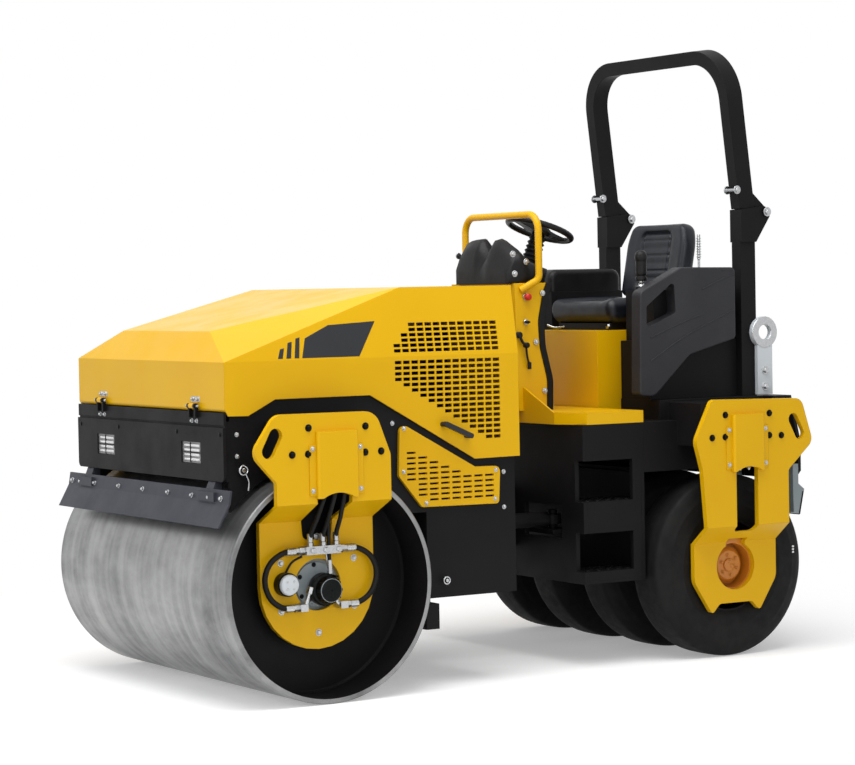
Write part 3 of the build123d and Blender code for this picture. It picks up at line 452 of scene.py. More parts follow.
def tyre_profile(y):
    """Section of a smooth compactor tyre with ribs on its sidewalls, centred on y."""
    side = [(0.080, 0.195), (0.084, 0.203), (0.092, 0.214), (0.0935, 0.224), (0.0985, 0.236),
            (0.0995, 0.252), (0.1010, 0.254), (0.1010, 0.260), (0.1003, 0.262), (0.1018, 0.283),
            (0.1022, 0.300), (0.1015, 0.318), (0.1020, 0.320), (0.1012, 0.327), (0.0995, 0.330),
            (0.0968, 0.345), (0.0935, 0.356), (0.0890, 0.368), (0.0835, 0.377), (0.0780, 0.3825),
            (0.0720, 0.3853), (0.0560, 0.3866), (0.0280, 0.3873)]
    other = [(-a, r) for a, r in reversed(side)]
    return [(y + a, r) for a, r in [*side, (0.0, TYRE_R), *other]]


def tyres():
    for name, s in SIDES:
        pile = Pile()
        for y in TYRE_ROWS:
            pile.lathe(tyre_profile(s * y), (TYRE_X, 0, TYRE_R), sides=160)
        piece = pile.done("tyre_pair_" + name, "tyre_rubber", "wheels_" + name, angle=40.0)
        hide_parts("tyres_" + name)
        mark = Pile()
        place = s * (TYRE_ROWS[0] + 0.1008)
        angle, reach = radians(8), 0.335
        for k in range(3):
            x = TYRE_X - reach * cos(angle)
            z = TYRE_R + reach * sin(angle) + (k - 1) * 0.012
            mark.block((x - 0.005, place - 0.003, z - 0.004), (x + 0.005, place + 0.0005, z + 0.004), 0.001)
        mark.done("tyre_mark_" + name, "white_paint", "wheels_" + name, "lamp_lens")


def wheel_hubs():
    """The gear hub inside the round cup of the rear yoke: a stack of discs, bolts and two plugs."""
    for name, s in SIDES:
        pile = Pile()
        x, z = TYRE_X, TYRE_R
        core = ((0.666, 0.0005), (0.676, 0.0005), (0.676, 0.024), (0.673, 0.028), (0.666, 0.028))
        ring = ((0.628, 0.0690), (0.628, 0.0825), (0.631, 0.0840), (0.638, 0.0840), (0.641, 0.0825),
                (0.641, 0.0775), (0.648, 0.0765), (0.650, 0.0690))
        pile.lathe([(s * y, r) for y, r in core], (x, 0, z), sides=48)
        pile.lathe([(s * y, r) for y, r in ring], (x, 0, z), sides=80)
        for k in range(12):
            a = radians(30 * k)
            pile.bolt((x + 0.0765 * cos(a), s * 0.641, z + 0.0765 * sin(a)), (0, s, 0), 0.0042, 0.004)
        for k in range(6):
            a = radians(60 * k + 20)
            pile.bolt((x + 0.042 * cos(a), s * 0.668, z + 0.042 * sin(a)), (0, s, 0), 0.0058, 0.004)
        for plug in (200, 90):
            a = radians(plug)
            pile.socket_bolt((x + 0.013 * cos(a), s * 0.676, z + 0.013 * sin(a)), (0, s, 0), 0.0060, 0.004)
        pile.done("gear_hub_" + name, "orange_paint", "rear")


# Bolts

YOKE_BOLTS = [(1.060, 1.065), (1.063, 0.966), (1.132, 0.966), (0.811, 1.062), (0.814, 0.962), (0.743, 0.963)]
REAR_BOLTS = [(-0.923, 1.034), (-1.156, 1.033), (-0.853, 0.941), (-0.921, 0.942), (-1.155, 0.940),
              (-1.219, 0.937)]


def yoke_bolts():
    for body, places in (("front", YOKE_BOLTS), ("rear", REAR_BOLTS)):
        pile = Pile()
        for s in BOTH:
            for x, z in places:
                pile.bolt((x, s * YOKE_Y, z), (0, s, 0), 0.0098, 0.008)
        pile.done("yoke_bolts_" + body, "black_bolt", body, "black_paint")
    pile = Pile()
    for s in BOTH:
        for k in range(6):
            a = radians(60 * k + 30)
            place = (DRUM_X + 0.186 * cos(a), s * 0.660, DRUM_Z + 0.186 * sin(a))
            pile.bolt(place, (0, s, 0), 0.0095, 0.008)
        for x in (0.838, 1.046):
            for z in (0.825, 0.985):
                pile.bolt((x, s * COVER_Y, z), (0, s, 0), 0.0065, 0.005)
    pile.done("foot_bolts_front", "silver_steel", "front")
    pile = Pile()
    for s in BOTH:
        for x in (-1.131, -0.939):
            for z in (0.825, 0.970):
                pile.bolt((x, s * COVER_Y, z), (0, s, 0), 0.0065, 0.005)
        for x in (-1.012, -1.058):
            pile.bolt((x, s * 0.790, 0.806), (0, 0, -1), 0.007, 0.005)
    pile.done("cover_bolts_rear", "silver_steel", "rear")


def frame_bolts():
    pile = Pile()
    for s in BOTH:
        for x, z in ((1.285, 1.044), (1.285, 0.961), (0.600, 1.058), (0.084, 0.842), (0.084, 0.700)):
            pile.bolt((x, s * FRAME_Y, z), (0, s, 0), 0.0065, 0.006)
        for x, z in ((0.556, 1.036), (0.560, 0.866), (0.458, 0.737), (0.136, 0.737), (0.130, 0.852)):
            pile.bolt((x, s * GRILLE_Y, z), (0, s, 0), 0.0060, 0.005)
    for y in HINGE_ROWS:
        for step in (-0.021, 0.021):
            pile.bolt((1.346, y + step, 1.092), (1, 0, 0), 0.0062, 0.006)
    pile.done("frame_bolts", "silver_steel", "front")
    pile = Pile()
    for y in HINGE_ROWS:
        pile.block((1.3395, y - 0.036, 1.164), (1.3425, y + 0.036, 1.186), 0.0012)
        for step in (-0.021, 0.021):
            pile.bolt((1.3425, y + step, 1.176), (1, 0, 0), 0.0060, 0.005)
    pile.done("hinge_leaves", "silver_steel", "hood")
    pile = Pile()
    for y in HINGE_ROWS:
        pile.bar((1.356, y - 0.052, 1.150), (1.356, y + 0.052, 1.150), 0.0048, sides=16, bevel=0.001)
    pile.done("hinge_pins", "silver_steel", "front")
    pile = Pile()
    slope = Vector((0.052, 0, 0.008)).normalized()
    for y in (-0.700, -0.618, -0.475, -0.239, -0.011, 0.217, 0.428, 0.574, 0.676):
        small = abs(y) > 0.55
        pile.bolt((1.3665, y, 0.806), slope, 0.0080 if small else 0.0066, 0.007)
    pile.done("scraper_bolts", "silver_steel", "front")


# Hoses, fittings and the drum motor's trim

def fittings():
    """Couplings around each drum motor, and the thin hoses beside it."""
    pile = Pile()
    rubber_bits = Pile()
    for s in BOTH:
        y = s * PORT_Y
        for sign in BOTH:
            def spot(a, z):
                return (DRUM_X + sign * a, y, z)
            pile.bar(spot(0.074, PORT_Z), spot(0.098, PORT_Z), 0.0175, sides=6, bevel=0.002)
            pile.bar(spot(0.098, PORT_Z), spot(0.112, PORT_Z), 0.0145, sides=6, bevel=0.0015)
            pile.bar(spot(0.112, PORT_Z), spot(0.152, PORT_Z), 0.0150, sides=24, bevel=0.002)
            for k in range(4):
                rib = [(DRUM_X + sign * (a + k * 0.009), r)
                       for a, r in ((0.118, 0.0157), (0.121, 0.0157), (0.1195, 0.0130))]
                pile.lathe(rib, (0, y, PORT_Z), "X", 24)
            pile.bar(spot(0.100, LOW_PORT_Z), spot(0.124, LOW_PORT_Z), 0.0155, sides=6, bevel=0.002)
            pile.bar(spot(0.124, LOW_PORT_Z), spot(0.160, LOW_PORT_Z), 0.0150, sides=24, bevel=0.002)
            elbow = [spot(0.092, LOW_PORT_Z), spot(0.072, 0.376), spot(0.062, 0.400), spot(0.052, 0.428)]
            pile.pipe(elbow, 0.0085)
            pile.bar(spot(0.054, 0.420), spot(0.046, 0.446), 0.0135, sides=6, bevel=0.0015)
        for a in (-0.067, -0.010, 0.047):
            x = DRUM_X + a
            pile.bar((x, y, 0.603), (x, y, 0.618), 0.0140, sides=6, bevel=0.0015)
            pile.bar((x, y, 0.618), (x, y, 0.652), 0.0115, sides=20, bevel=0.0015)
            pile.bar((x, y, PORT_Z), (x, y + s * 0.034, PORT_Z), 0.0120, sides=6, bevel=0.002)
        pile.pipe([(0.926, y, 0.575), (0.924, y + s * 0.004, 0.540), (0.918, y + s * 0.006, 0.500)], 0.0055)
        rubber_bits.pipe([(0.920, y + s * 0.010, 0.690), (0.922, y + s * 0.014, 0.620),
                          (0.920, y + s * 0.012, 0.545)], 0.0075)
        pile.bar((0.919, y + s * 0.012, 0.548), (0.917, y + s * 0.012, 0.492), 0.0095, sides=18, bevel=0.002)
        rubber_bits.pipe([(1.098, s * 0.668, 0.500), (1.070, s * 0.676, 0.545), (1.030, s * 0.684, 0.566)],
                         0.0045)
    pile.done("hose_crimps", "silver_steel", "front")
    rubber_bits.done("thin_hoses", "hose_rubber", "front")


def side_block(pile, x, y, z, bevel=0.001):
    """A block from three pairs of limits; the pair in y may come in either order."""
    y = sorted(y)
    pile.block((x[0], y[0], z[0]), (x[1], y[1], z[1]), bevel)


def motor_trim():
    """Each drum motor's dark case and lugs, and the accumulator's cap with its screws."""
    dark = Pile()
    pale = Pile()
    bright = Pile()
    caps = Pile()
    for s in BOTH:
        y = s * 0.738
        x, z = MOTOR[0], MOTOR[2]
        case = [(y - s * 0.080, 0.0005), (y - s * 0.080, 0.060), (y - s * 0.074, 0.0635),
                (y - s * 0.040, 0.0635), (y - s * 0.036, 0.060), (y - s * 0.034, 0.052),
                (y - s * 0.010, 0.050), (y, 0.044), (y + s * 0.004, 0.034), (y + s * 0.004, 0.0005)]
        dark.lathe(case, MOTOR, sides=64)
        for k in range(10):
            a = radians(36 * k)
            across, up = x + 0.047 * cos(a), z + 0.047 * sin(a)
            side_block(dark, (across - 0.005, across + 0.005), (y - s * 0.034, y - s * 0.004),
                       (up - 0.005, up + 0.005))
        for k in range(6):
            a = radians(60 * k + 25)
            place = (DRUM_X + 0.076 * cos(a), s * 0.643, DRUM_Z + 0.076 * sin(a))
            dark.socket_bolt(place, (0, s, 0), 0.0062, 0.006)
        pale.plate([(0.905, 0.378), (0.950, 0.366), (0.985, 0.384), (0.960, 0.400), (0.915, 0.398)],
                   s * 0.643, s * 0.655, 0.002)
        for k in range(3):
            side_block(dark, (0.893, 0.905), (s * 0.662, s * 0.726), (0.452 + k * 0.014, 0.459 + k * 0.014))
        face = (s * 0.735, s * 0.7425)
        side_block(dark, (0.905, 0.959), face, (0.4285, 0.4355))
        side_block(dark, (0.9285, 0.9355), face, (0.405, 0.459))
        caps.lathe([(s * 0.700, 0.0005), (s * 0.700, 0.040), (s * 0.706, 0.0405), (s * 0.713, 0.037),
                    (s * 0.717, 0.028), (s * 0.7185, 0.0005)], ACCUMULATOR, sides=48)
        for k in range(4):
            a = radians(90 * k + 45)
            across, up = ACCUMULATOR[0] + 0.020 * cos(a), ACCUMULATOR[2] + 0.020 * sin(a)
            bright.bar((across, s * 0.716, up), (across, s * 0.7195, up), 0.0045, sides=14)
        dark.lathe([(s * 0.661, 0.0405), (s * 0.661, 0.0455), (s * 0.698, 0.0455), (s * 0.698, 0.0405)],
                   ACCUMULATOR, sides=48)
    dark.done("motor_cases", "black_bolt", "front", "black_paint")
    pale.done("motor_lugs", "pale_grey", "front", "grey_paint")
    caps.done("accumulator_caps", "zinc_paint", "front", "silver_steel")
    bright.done("accumulator_screws", "silver_steel", "front")


# Front panel

def lamps():
    """Bright bars and dark ribs on the two headlamps."""
    bright = Pile()
    dark = Pile()
    x = LAMP_X
    for s in BOTH:
        y, z = s * 0.393, 0.969
        for row in range(4):
            level = z + 0.027 - row * 0.018
            bright.block((x, y - 0.004, level - 0.005), (1.3475, y + 0.066, level + 0.005), 0.0012)
            for k in range(5):
                across = y + 0.006 + k * 0.013
                bright.bar((1.3460, across, level), (1.3492, across, level), 0.0042, sides=12)
            bright.block((x, y - 0.066, level - 0.004), (1.3462, y - 0.016, level + 0.004), 0.001)
        dark.block((x, y - 0.0800, z - 0.0022), (1.3480, y + 0.0800, z + 0.0022), 0.0008)
        dark.block((x, y - 0.0125, z - 0.0390), (1.3480, y - 0.0085, z + 0.0390), 0.0008)
    bright.done("lamp_bars", "white_paint", "front", "lamp_lens")
    dark.done("lamp_ribs", "black_bolt", "front", "black_paint")


def eyelet(pile, centre, y, r, tube):
    """A thin ring about the Y axis."""
    profile = [(y + tube * cos(radians(a)), r + tube * sin(radians(a))) for a in range(0, 360, 45)]
    pile.lathe(profile, centre, sides=28)


def panel_trim():
    pile = Pile()
    for s in BOTH:
        for y in (0.640, 0.270):
            pile.socket_bolt((1.3500, s * y, 1.045), (1, 0, 0), 0.006, 0.004)
    pile.done("panel_screws", "black_bolt", "front", "black_paint")
    clips = Pile()
    for s in BOTH:
        x, z = 1.273, 0.909
        clips.bar((x, s * FRAME_Y, z), (x, s * 0.690, z), 0.008, sides=20, bevel=0.001)
        eyelet(clips, (x, 0, z), s * 0.684, 0.017, 0.004)
        clips.pipe([(x - 0.006, s * 0.688, z - 0.012), (x - 0.018, s * 0.690, z - 0.045),
                    (x - 0.016, s * 0.688, z - 0.078)], 0.0032)
        x, z = 0.373, 0.425
        clips.bar((x, s * FRAME_Y, z), (x, s * 0.682, z), 0.007, sides=20, bevel=0.001)
        eyelet(clips, (x, 0, z), s * 0.676, 0.014, 0.003)
    clips.done("lash_clips", "silver_steel", "front")


# Hood

def hood_decals():
    """The dark plate and three bars on each side of the hood, left bare; they lie on the slope."""
    def on_slope(x, z):
        """Where a side view's point meets the hood's side: y and the face's normal."""
        a, b = Vector((1.341, 0.670, 1.319)), Vector((0.537, 0.624, 1.592))
        c, d = Vector((0.537, 0.670, 1.319)), Vector((1.259, 0.394, 1.434))
        best = None
        for third in (c, d):
            n = (b - a).cross(third - a).normalized()
            n = n if n.z > 0 else -n
            y = a.y - (n.x * (x - a.x) + n.z * (z - a.z)) / n.y if abs(n.y) > 1e-6 else 9
            best = (y, n) if best is None or y < best[0] else best
        return best

    pile = Pile()
    shapes = [[(1.003, 1.326), (0.983, 1.402), (0.876, 1.450), (0.666, 1.461), (0.750, 1.326)]]
    for x, top in ((1.096, 1.362), (1.060, 1.386), (1.024, 1.402)):
        shapes.append([(x + 0.012, 1.326), (x, top), (x - 0.018, top + 0.004), (x - 0.008, 1.326)])
    for outline in shapes:
        for s in BOTH:
            low, high = [], []
            for x, z in outline:
                y, n = on_slope(x, z)
                p = Vector((x, y, z))
                low.append(p - n * 0.0004)
                high.append(p + n * 0.0009)
            if s < 0:
                low = [Vector((p.x, -p.y, p.z)) for p in low]
                high = [Vector((p.x, -p.y, p.z)) for p in high]
            pile.ring_solid([low, high])
    pile.done("hood_plates", "plate_film", "hood", "black_paint")


# Platform, console and seat

def console_trim():
    silver = Pile()
    for s in BOTH:
        for x, z in ((-0.382, 1.556), (-0.345, 1.350), (-0.386, 1.142)):
            silver.bolt((x - 0.006, s * 0.256, z), (0, s, 0), 0.0085, 0.005)
    for x, z in ((-0.248, 1.723), (-0.315, 1.690), (-0.256, 1.640)):
        silver.bolt((x, 0.245, z), (0, 1, 0), 0.0095, 0.006)
        silver.bolt((x, -0.185, z), (0, -1, 0), 0.0095, 0.006)
    silver.bar((-0.305, 0.250, 1.541), (-0.305, 0.258, 1.541), 0.016, sides=24, bevel=0.002)
    silver.bar((-0.300, 0.250, 1.435), (-0.300, 0.262, 1.435), 0.012, sides=24, bevel=0.002)
    silver.done("console_bolts", "silver_steel", "rear")
    red = Pile()
    red.lathe([(0.258, 0.0005), (0.258, 0.010), (0.264, 0.0145), (0.276, 0.0150), (0.282, 0.010),
               (0.283, 0.0005)], (-0.305, 0, 1.541), sides=32)
    red.done("stop_button", "red_plastic", "rear", "red_lens")
    dark = Pile()
    dark.bar((-0.300, 0.262, 1.435), (-0.300, 0.276, 1.435), 0.007, sides=20, bevel=0.001)
    dark.block((-0.308, 0.274, 1.431), (-0.284, 0.282, 1.439), 0.002)
    dark.bar((-0.262, 0.250, 1.381), (-0.262, 0.272, 1.381), 0.014, sides=24, bevel=0.003)
    dark.pipe([(-0.262, 0.266, 1.381), (-0.272, 0.274, 1.350), (-0.290, 0.276, 1.338)], 0.006)
    dark.bar((-0.290, 0.262, 1.338), (-0.290, 0.286, 1.338), 0.012, sides=20, bevel=0.003)
    dark.pipe([(-0.290, 0.272, 1.332), (-0.296, 0.270, 1.290), (-0.306, 0.266, 1.262)], 0.0045)
    dark.block((-0.318, 0.262, 1.236), (-0.300, 0.270, 1.266), 0.003)
    dark.done("console_switches", "smooth_plastic", "rear", "dark_plastic")


def shroud():
    """The instrument hood: a rounded body with a notch in its top and a slope down to the left."""
    def outline(drop):
        return [(-0.229, 1.598), (-0.229, 1.672 - drop * 0.3), (-0.248, 1.745 - drop), (-0.276, 1.789 - drop),
                (-0.302, 1.795 - drop), (-0.346, 1.744 - drop * 0.9), (-0.402, 1.694 - drop * 0.4),
                (-0.428, 1.672 - drop * 0.2), (-0.426, 1.640), (-0.411, 1.598)]
    stations = [(-0.185, 0.075), (-0.178, 0.034), (-0.158, 0.014), (-0.120, 0.003), (-0.050, 0.000),
                (-0.036, 0.004), (-0.026, 0.014), (0.008, 0.060), (0.022, 0.060), (0.054, 0.014),
                (0.066, 0.005), (0.082, 0.003), (0.118, 0.014), (0.160, 0.034), (0.205, 0.054),
                (0.234, 0.072), (0.245, 0.110)]
    pile = Pile()
    rings = []
    for y, drop in stations:
        edge = 0.010 if y > 0.24 or y < -0.18 else 0.0
        ring = []
        for x, z in outline(drop):
            ring.append((x + (edge if x < -0.33 else -edge), y, z - (edge * 0.4 if z > 1.6 else -edge)))
        rings.append(ring)
    pile.ring_solid(rings)
    piece = pile.done("instrument_hood", "smooth_plastic", "rear", "dark_plastic", angle=50.0)
    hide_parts("console_shroud")


def steering_wheel():
    """The wheel, built flat about the origin and then set on its axis, and the column's boot."""
    tilt = radians(20.0)
    place = Matrix.Translation((-0.550, 0, 1.830)) @ Matrix.Rotation(-tilt, 4, "Y")
    pile = Pile()
    rim_r, r = 0.141, 0.0135
    rings = []
    sides, turns = 16, 96
    for i in range(turns):
        a = 2 * pi * i / turns
        bulge = 1.0 - 0.045 * (0.5 + 0.5 * cos(36 * a)) * (1 if abs(sin(a)) > 0.28 else 0)
        ring = []
        for k in range(sides):
            b = 2 * pi * k / sides
            radius = rim_r + r * bulge * cos(b)
            ring.append((radius * cos(a), radius * sin(a), r * bulge * sin(b)))
        rings.append(ring)
    rows = [[pile.mesh.verts.new(p) for p in ring] for ring in rings]
    for i in range(turns):
        a, b = rows[i], rows[(i + 1) % turns]
        for k in range(sides):
            j = (k + 1) % sides
            pile.mesh.faces.new((a[k], b[k], b[j], a[j]))
    for s in BOTH:
        spoke = []
        for x, half, low, high in ((0.030, 0.036, -0.020, 0.008), (0.075, 0.025, -0.012, 0.006),
                                   (0.115, 0.020, -0.007, 0.006), (0.138, 0.026, -0.007, 0.007)):
            spoke.append([(s * x, -half, low), (s * x, half, low),
                          (s * x, half * 0.8, high), (s * x, -half * 0.8, high)])
        pile.ring_solid(spoke)
    pile.lathe([(-0.020, 0.0130), (-0.020, 0.038), (-0.006, 0.050), (0.008, 0.048), (0.0145, 0.036),
                (0.0150, 0.0130)], (0, 0, 0), "Z", 48)
    pile.lathe([(0.0112, 0.0004), (0.0112, 0.028), (0.0165, 0.024), (0.018, 0.0004)], (0, 0, 0), "Z", 40)
    pile.move(place)
    piece = pile.done("hand_wheel", "smooth_plastic", "steering_wheel", "dark_plastic", angle=45.0)
    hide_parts("steering_wheel")
    boot = Pile()
    profile = [(-0.150, 0.0285)]
    for k in range(6):
        profile += [(-0.142 + k * 0.020, 0.042 - k * 0.001), (-0.132 + k * 0.020, 0.033 - k * 0.001)]
    profile += [(-0.024, 0.0290), (-0.022, 0.0285)]
    boot.lathe(profile, (0, 0, 0), "Z", 40)
    boot.move(place)
    boot.done("column_boot", "hose_rubber", "rear", angle=60.0)


def pad_mesh(size, counts, radius):
    """A box with round edges about the origin, skinned with a fine grid."""
    pile = Pile()
    half = [s / 2 for s in size]
    inner = [h - radius for h in half]
    keys = {}

    def corner(i, j, k):
        key = (i, j, k)
        if key not in keys:
            raw = [2 * n / c - 1 for n, c in zip(key, counts)]
            p = [a * b for a, b in zip(raw, half)]
            near = [max(-b, min(b, a)) for a, b in zip(p, inner)]
            off = Vector(a - b for a, b in zip(p, near))
            if off.length > 1e-9:
                reach = max(abs(v) for v in off)
                off = off.normalized() * reach
            keys[key] = pile.mesh.verts.new(Vector(near) + off)
        return keys[key]

    nx, ny, nz = counts
    for i in range(nx):
        for j in range(ny):
            for k in (0, nz):
                quad = ((i, j, k), (i + 1, j, k), (i + 1, j + 1, k), (i, j + 1, k))
                pile.mesh.faces.new([corner(*key) for key in quad])
    for i in range(nx):
        for k in range(nz):
            for j in (0, ny):
                quad = ((i, j, k), (i + 1, j, k), (i + 1, j, k + 1), (i, j, k + 1))
                pile.mesh.faces.new([corner(*key) for key in quad])
    for j in range(ny):
        for k in range(nz):
            for i in (0, nx):
                quad = ((i, j, k), (i, j + 1, k), (i, j + 1, k + 1), (i, j, k + 1))
                pile.mesh.faces.new([corner(*key) for key in quad])
    return pile


def groove(distance, width, depth):
    """Depth of a soft channel at a distance from its middle."""
    return depth * max(0.0, 1 - (distance / width) ** 2) ** 2 if abs(distance) < width else 0.0


def rounded_box_distance(x, z, half_x, half_z, r):
    """Distance outside (+) or inside (-) a rounded rectangle."""
    qx, qz = abs(x) - half_x + r, abs(z) - half_z + r
    return sqrt(max(qx, 0) ** 2 + max(qz, 0) ** 2) + min(max(qx, qz), 0) - r


CUSHION = (0.398, 0.478, 0.108)
BACKREST = (0.066, 0.438, 0.326)
SEWN_LEVELS = (0.088, 0.020, -0.050)


def cushion():
    """Crowned cushion with bolsters at the sides and sewn channels."""
    pile = pad_mesh(CUSHION, (56, 64, 14), 0.040)
    half_z = 0.054
    for v in pile.mesh.verts:
        x, y, z = v.co
        u, w = x / 0.199, y / 0.239
        top = max(0.0, z / half_z)
        bolster = 0.010 * max(0.0, min(1.0, (abs(w) - 0.60) / 0.25)) * (1 - max(0.0, (abs(w) - 0.9) / 0.1))
        crown = 0.008 * (1 - u * u) * (1 - w * w)
        dish = -0.012 * (1 - min(1, (u / 0.9) ** 2)) * (1 - min(1, (w / 0.62) ** 2))
        sewn = groove(abs(w) - 0.60, 0.035, 0.006) if abs(u) < 0.86 else 0.0
        sewn = max(sewn, groove(u - 0.05, 0.030, 0.004) if abs(w) < 0.58 else 0.0)
        front = 0.006 * max(0.0, u) * top
        v.co.z += top * (bolster + crown * 0.5 + dish - sewn - 0.006) - front
        pull = 0.004 * (1 - u * u) * (1 - abs(z) / half_z)
        v.co.y -= (1 if y > 0 else -1) * pull if abs(w) > 0.8 else 0.0
        if u > 0.6:
            v.co.x -= 0.012 * (1 - top) * max(0, -z / half_z)
    for v in pile.mesh.verts:
        v.co += Vector((-0.950, 0, 1.4735))
    piece = pile.done("cushion_cover", "seat_vinyl", "rear", angle=75.0)
    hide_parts("seat_cushion")


def backrest():
    """Backrest that narrows upward, with a sewn field of three channels on its face."""
    lean = Matrix.Rotation(radians(-10.5), 4, "Y")
    pile = pad_mesh(BACKREST, (12, 72, 60), 0.030)
    for v in pile.mesh.verts:
        x, y, z = v.co
        rise = z / 0.163
        if rise > 0.3:
            v.co.y *= 1 - 0.16 * ((rise - 0.3) / 0.7) ** 2
        y = v.co.y
        if x > 0:
            face = min(1.0, x / 0.020)
            inner = rounded_box_distance(y, z + 0.004, 0.105, 0.126, 0.03)
            dip = groove(inner, 0.012, 0.010)
            if inner < 0:
                dip += 0.004
                for level in SEWN_LEVELS:
                    dip += groove(z - level, 0.008, 0.005)
                dip -= 0.004 * abs(cos(pi * (z - 0.020) / 0.069))
            else:
                dip -= 0.003 * min(1.0, inner / 0.03)
            v.co.x -= face * (dip - 0.001)
        v.co.x -= 0.010 * (y / 0.22) ** 2 * (-1 if x > 0 else 0.3)
    for v in pile.mesh.verts:
        v.co = lean @ v.co + Vector((-1.196, 0, 1.6885))
    piece = pile.done("backrest_cover", "seat_vinyl", "rear", angle=75.0)
    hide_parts("seat_backrest")


def seat_trim():
    """Seat rails and lever, the drive lever's collar, and the spring rod beside the backrest."""
    pile = Pile()
    for s in BOTH:
        pile.pipe([(-0.790, s * 0.150, 1.405), (-0.760, s * 0.200, 1.400), (-0.742, s * 0.236, 1.412)], 0.005)
        pile.block((-1.100, s * 0.175 - 0.010, 1.392), (-0.800, s * 0.175 + 0.010, 1.404), 0.002)
    pile.bar((*LEVER, 1.575), (*LEVER, 1.592), 0.016, 0.011, sides=28, bevel=0.002)
    pile.bar((*LEVER, 1.592), (*LEVER, 1.612), 0.009, sides=24, bevel=0.001)
    for k in range(8):
        rise = k * 0.0115
        pile.lathe([(1.698 + rise, 0.0050), (1.7015 + rise, 0.0125), (1.705 + rise, 0.0050)],
                   (*SPRING, 0), "Z", 20)
    pile.bar((*SPRING, 1.690), (*SPRING, 1.800), 0.0075, sides=18, bevel=0.001)
    pile.bar((*SPRING, 1.640), (*SPRING, 1.692), 0.0055, sides=14)
    pile.bar((*SPRING, 1.642), (-1.200, 0.212, 1.642), 0.0055, sides=14)
    pile.done("seat_levers", "silver_steel", "rear")


def mouldings():
    """Raised lines on the side mouldings."""
    pile = Pile()
    lines = [((-0.735, 1.262), (-0.925, 1.366), (-1.180, 1.470)),
             ((-0.735, 1.360), (-0.900, 1.420), (-1.010, 1.452)),
             ((-1.010, 1.560), (-1.110, 1.600), (-1.180, 1.622))]
    for s in BOTH:
        for line in lines:
            pile.pipe([(x, s * 0.5498, z) for x, z in line], 0.0030, 8, 5)
        pile.block((-1.180, s * 0.5485 - 0.002, 1.636), (-1.115, s * 0.5485 + 0.002, 1.645), 0.0015)
    pile.done("moulding_ribs", "dark_plastic", "rear")


def drive_knob():
    """A bulb knob on a rubber gaiter, over the drive lever."""
    pile = Pile()
    pile.lathe([(1.600, 0.0005), (1.600, 0.024), (1.612, 0.027), (1.622, 0.020), (1.632, 0.023),
                (1.642, 0.016), (1.650, 0.0125), (1.660, 0.0125), (1.672, 0.020), (1.690, 0.0265),
                (1.708, 0.0275), (1.722, 0.022), (1.730, 0.012), (1.732, 0.0005)], (*LEVER, 0), "Z", 36)
    pile.done("drive_knob", "smooth_plastic", "rear", "dark_plastic", angle=55.0)


# Roll bar

def roll_bar_trim():
    """The fold pins on the posts, the lock pins on the arch, and the lifting links' bolts and rims."""
    pile = Pile()
    for s in BOTH:
        y = s * POST_Y
        pile.bar((FOLD_X, y - 0.052, FOLD_Z), (FOLD_X, y + 0.052, FOLD_Z), 0.0095, sides=20, bevel=0.001)
        pile.bolt((FOLD_X, y + s * 0.048, FOLD_Z), (0, s, 0), 0.014, 0.009)
        pile.bolt((FOLD_X, y - s * 0.048, FOLD_Z), (0, -s, 0), 0.014, 0.009)
    pile.done("fold_pins", "silver_steel", "rear")
    pile = Pile()
    for s in BOTH:
        y = s * POST_Y
        pile.bar((LOCK_X, y - 0.038, LOCK_Z), (LOCK_X, y + 0.038, LOCK_Z), 0.0075, sides=20, bevel=0.001)
        for side in BOTH:
            pile.bolt((LOCK_X, y + side * 0.034, LOCK_Z), (0, side, 0), 0.0125, 0.007)
    pile.done("lock_pins", "silver_steel", "roll_bar")
    links = Pile()
    for s in BOTH:
        y = s * LINK_Y
        for z in (1.135, 1.205):
            links.bolt((LINK_X, y, z), (0, s, 0), 0.013, 0.009)
        low, high = y - s * 0.0005, y + s * 0.0022
        links.lathe([(low, 0.0330), (high, 0.0345), (high, 0.0655), (low, 0.0670)], (LINK_X, 0, 1.369),
                    sides=56)
    links.done("link_bolts", "silver_steel", "rear")


def rear_trim():
    """Rubber edges on the tyre scrapers, and bolts on the rear frame's tail."""
    pile = Pile()
    for s in BOTH:
        for y in TYRE_ROWS:
            pile.plate([(-1.4215, 0.582), (-1.414, 0.580), (-1.436, 0.680), (-1.4435, 0.680)],
                       s * y - 0.092, s * y + 0.092, 0.001)
    pile.done("scraper_edges", "hose_rubber", "rear")
    pile = Pile()
    for s in BOTH:
        for x, z in ((-1.405, 0.860), (-1.405, 0.830), (-1.380, 0.852), (-1.372, 0.880)):
            pile.bolt((x, s * 0.620, z), (0, s, 0), 0.008, 0.006)
    for y in (-0.56, -0.2, 0.2, 0.56):
        pile.bolt((-1.430, y, 1.040), (-1, 0, 0), 0.010, 0.007)
    pile.done("rear_bolts", "silver_steel", "rear")


TREADS = (0.400, 0.690)


def steps():
    """Punched grip on the step treads."""
    pile = Pile()
    for s in BOTH:
        for z in TREADS:
            rim = [(z, 0.006), (z + 0.0035, 0.010), (z + 0.0035, 0.012), (z, 0.015)]
            for row in range(5):
                for column in range(3):
                    place = (-0.375 - row * 0.050, s * (0.470 + column * 0.055), 0)
                    pile.lathe(rim, place, "Z", 16)
    pile.done("tread_grips", "black_paint", "rear")


# Studio

FLOOR_FADE = (1.7, 3.6)  # the floor turns white between these distances from the origin
FLOOR_GLOW = 0.30  # how far the floor near the machine is lifted for the camera
WORLD_LIGHT = 0.44


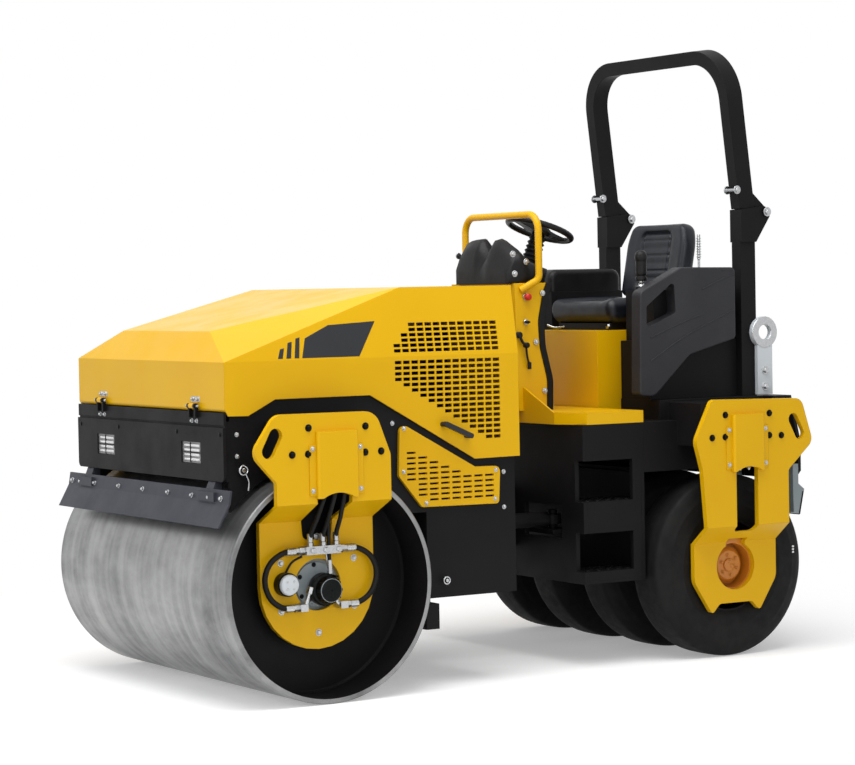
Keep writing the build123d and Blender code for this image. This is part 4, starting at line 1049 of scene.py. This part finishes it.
def studio():
    """White floor that keeps the shadow, white surroundings and three soft lights."""
    mat, tree, shader = new_material("floor_white", (0.82, 0.82, 0.82), 0.0, 0.9, specular=0.0)

    def seen_by(tree):
        """1 for camera, glossy and transmission rays, which meet a white background."""
        path = add(tree, "ShaderNodeLightPath")
        first = add(tree, "ShaderNodeMath", operation="MAXIMUM")
        both = add(tree, "ShaderNodeMath", operation="MAXIMUM")
        tree.links.new(path.outputs["Is Camera Ray"], first.inputs[0])
        tree.links.new(path.outputs["Is Glossy Ray"], first.inputs[1])
        tree.links.new(first.outputs[0], both.inputs[0])
        tree.links.new(path.outputs["Is Transmission Ray"], both.inputs[1])
        return both.outputs[0]

    place = add(tree, "ShaderNodeNewGeometry")
    length = add(tree, "ShaderNodeVectorMath", operation="LENGTH")
    tree.links.new(place.outputs["Position"], length.inputs[0])
    far = add(tree, "ShaderNodeMath", operation="MULTIPLY")
    tree.links.new(remap(tree, length.outputs["Value"], *FLOOR_FADE, 0.0, 1.0), far.inputs[0])
    tree.links.new(seen_by(tree), far.inputs[1])
    white = add(tree, "ShaderNodeEmission")
    glow = add(tree, "ShaderNodeEmission")
    tree.links.new(remap(tree, seen_by(tree), 0.0, 1.0, 0.0, FLOOR_GLOW), glow.inputs["Strength"])
    lit = add(tree, "ShaderNodeAddShader")
    tree.links.new(shader.outputs["BSDF"], lit.inputs[0])
    tree.links.new(glow.outputs["Emission"], lit.inputs[1])
    faded = add(tree, "ShaderNodeMixShader")
    tree.links.new(far.outputs[0], faded.inputs[0])
    tree.links.new(lit.outputs[0], faded.inputs[1])
    tree.links.new(white.outputs["Emission"], faded.inputs[2])
    tree.links.new(faded.outputs[0], tree.nodes["Material Output"].inputs["Surface"])
    bpy.ops.mesh.primitive_circle_add(vertices=96, radius=90, fill_type="NGON", location=(0, 0, 0))
    floor = bpy.context.object
    floor.name = "floor"
    floor.data.materials.append(mat)

    world = bpy.data.worlds.new("studio")
    SCENE.world = world
    world.use_nodes = True
    tree = world.node_tree
    back = tree.nodes["Background"]
    level = remap(tree, seen_by(tree), 0.0, 1.0, WORLD_LIGHT, 1.0)
    back.inputs["Color"].default_value = (1, 1, 1, 1)
    tree.links.new(level, back.inputs["Strength"])

    def softbox(name, place, target, size, power):
        data = bpy.data.lights.new(name, "AREA")
        data.shape = "RECTANGLE"
        data.size, data.size_y = size
        data.energy = power
        lamp = bpy.data.objects.new(name, data)
        lamp.location = place
        lamp.rotation_euler = (Vector(target) - Vector(place)).to_track_quat("-Z", "Y").to_euler()
        SCENE.collection.objects.link(lamp)

    softbox("top_light", (1.5, 1.5, 6.5), (0, 0, 1.0), (6.0, 5.0), 430)
    softbox("front_light", (7.5, 1.0, 3.2), (0.5, 0, 0.9), (4.0, 3.0), 90)
    softbox("side_light", (2.5, 8.5, 3.5), (0, 0, 0.9), (5.0, 3.0), 130)


SCENE.view_settings.view_transform = "Standard"
make_camera()
make_materials()
dress_nodes()
drum()
tyres()
wheel_hubs()
yoke_bolts()
frame_bolts()
fittings()
motor_trim()
lamps()
panel_trim()
hood_decals()
console_trim()
shroud()
steering_wheel()
cushion()
backrest()
seat_trim()
drive_knob()
mouldings()
roll_bar_trim()
rear_trim()
steps()
studio()
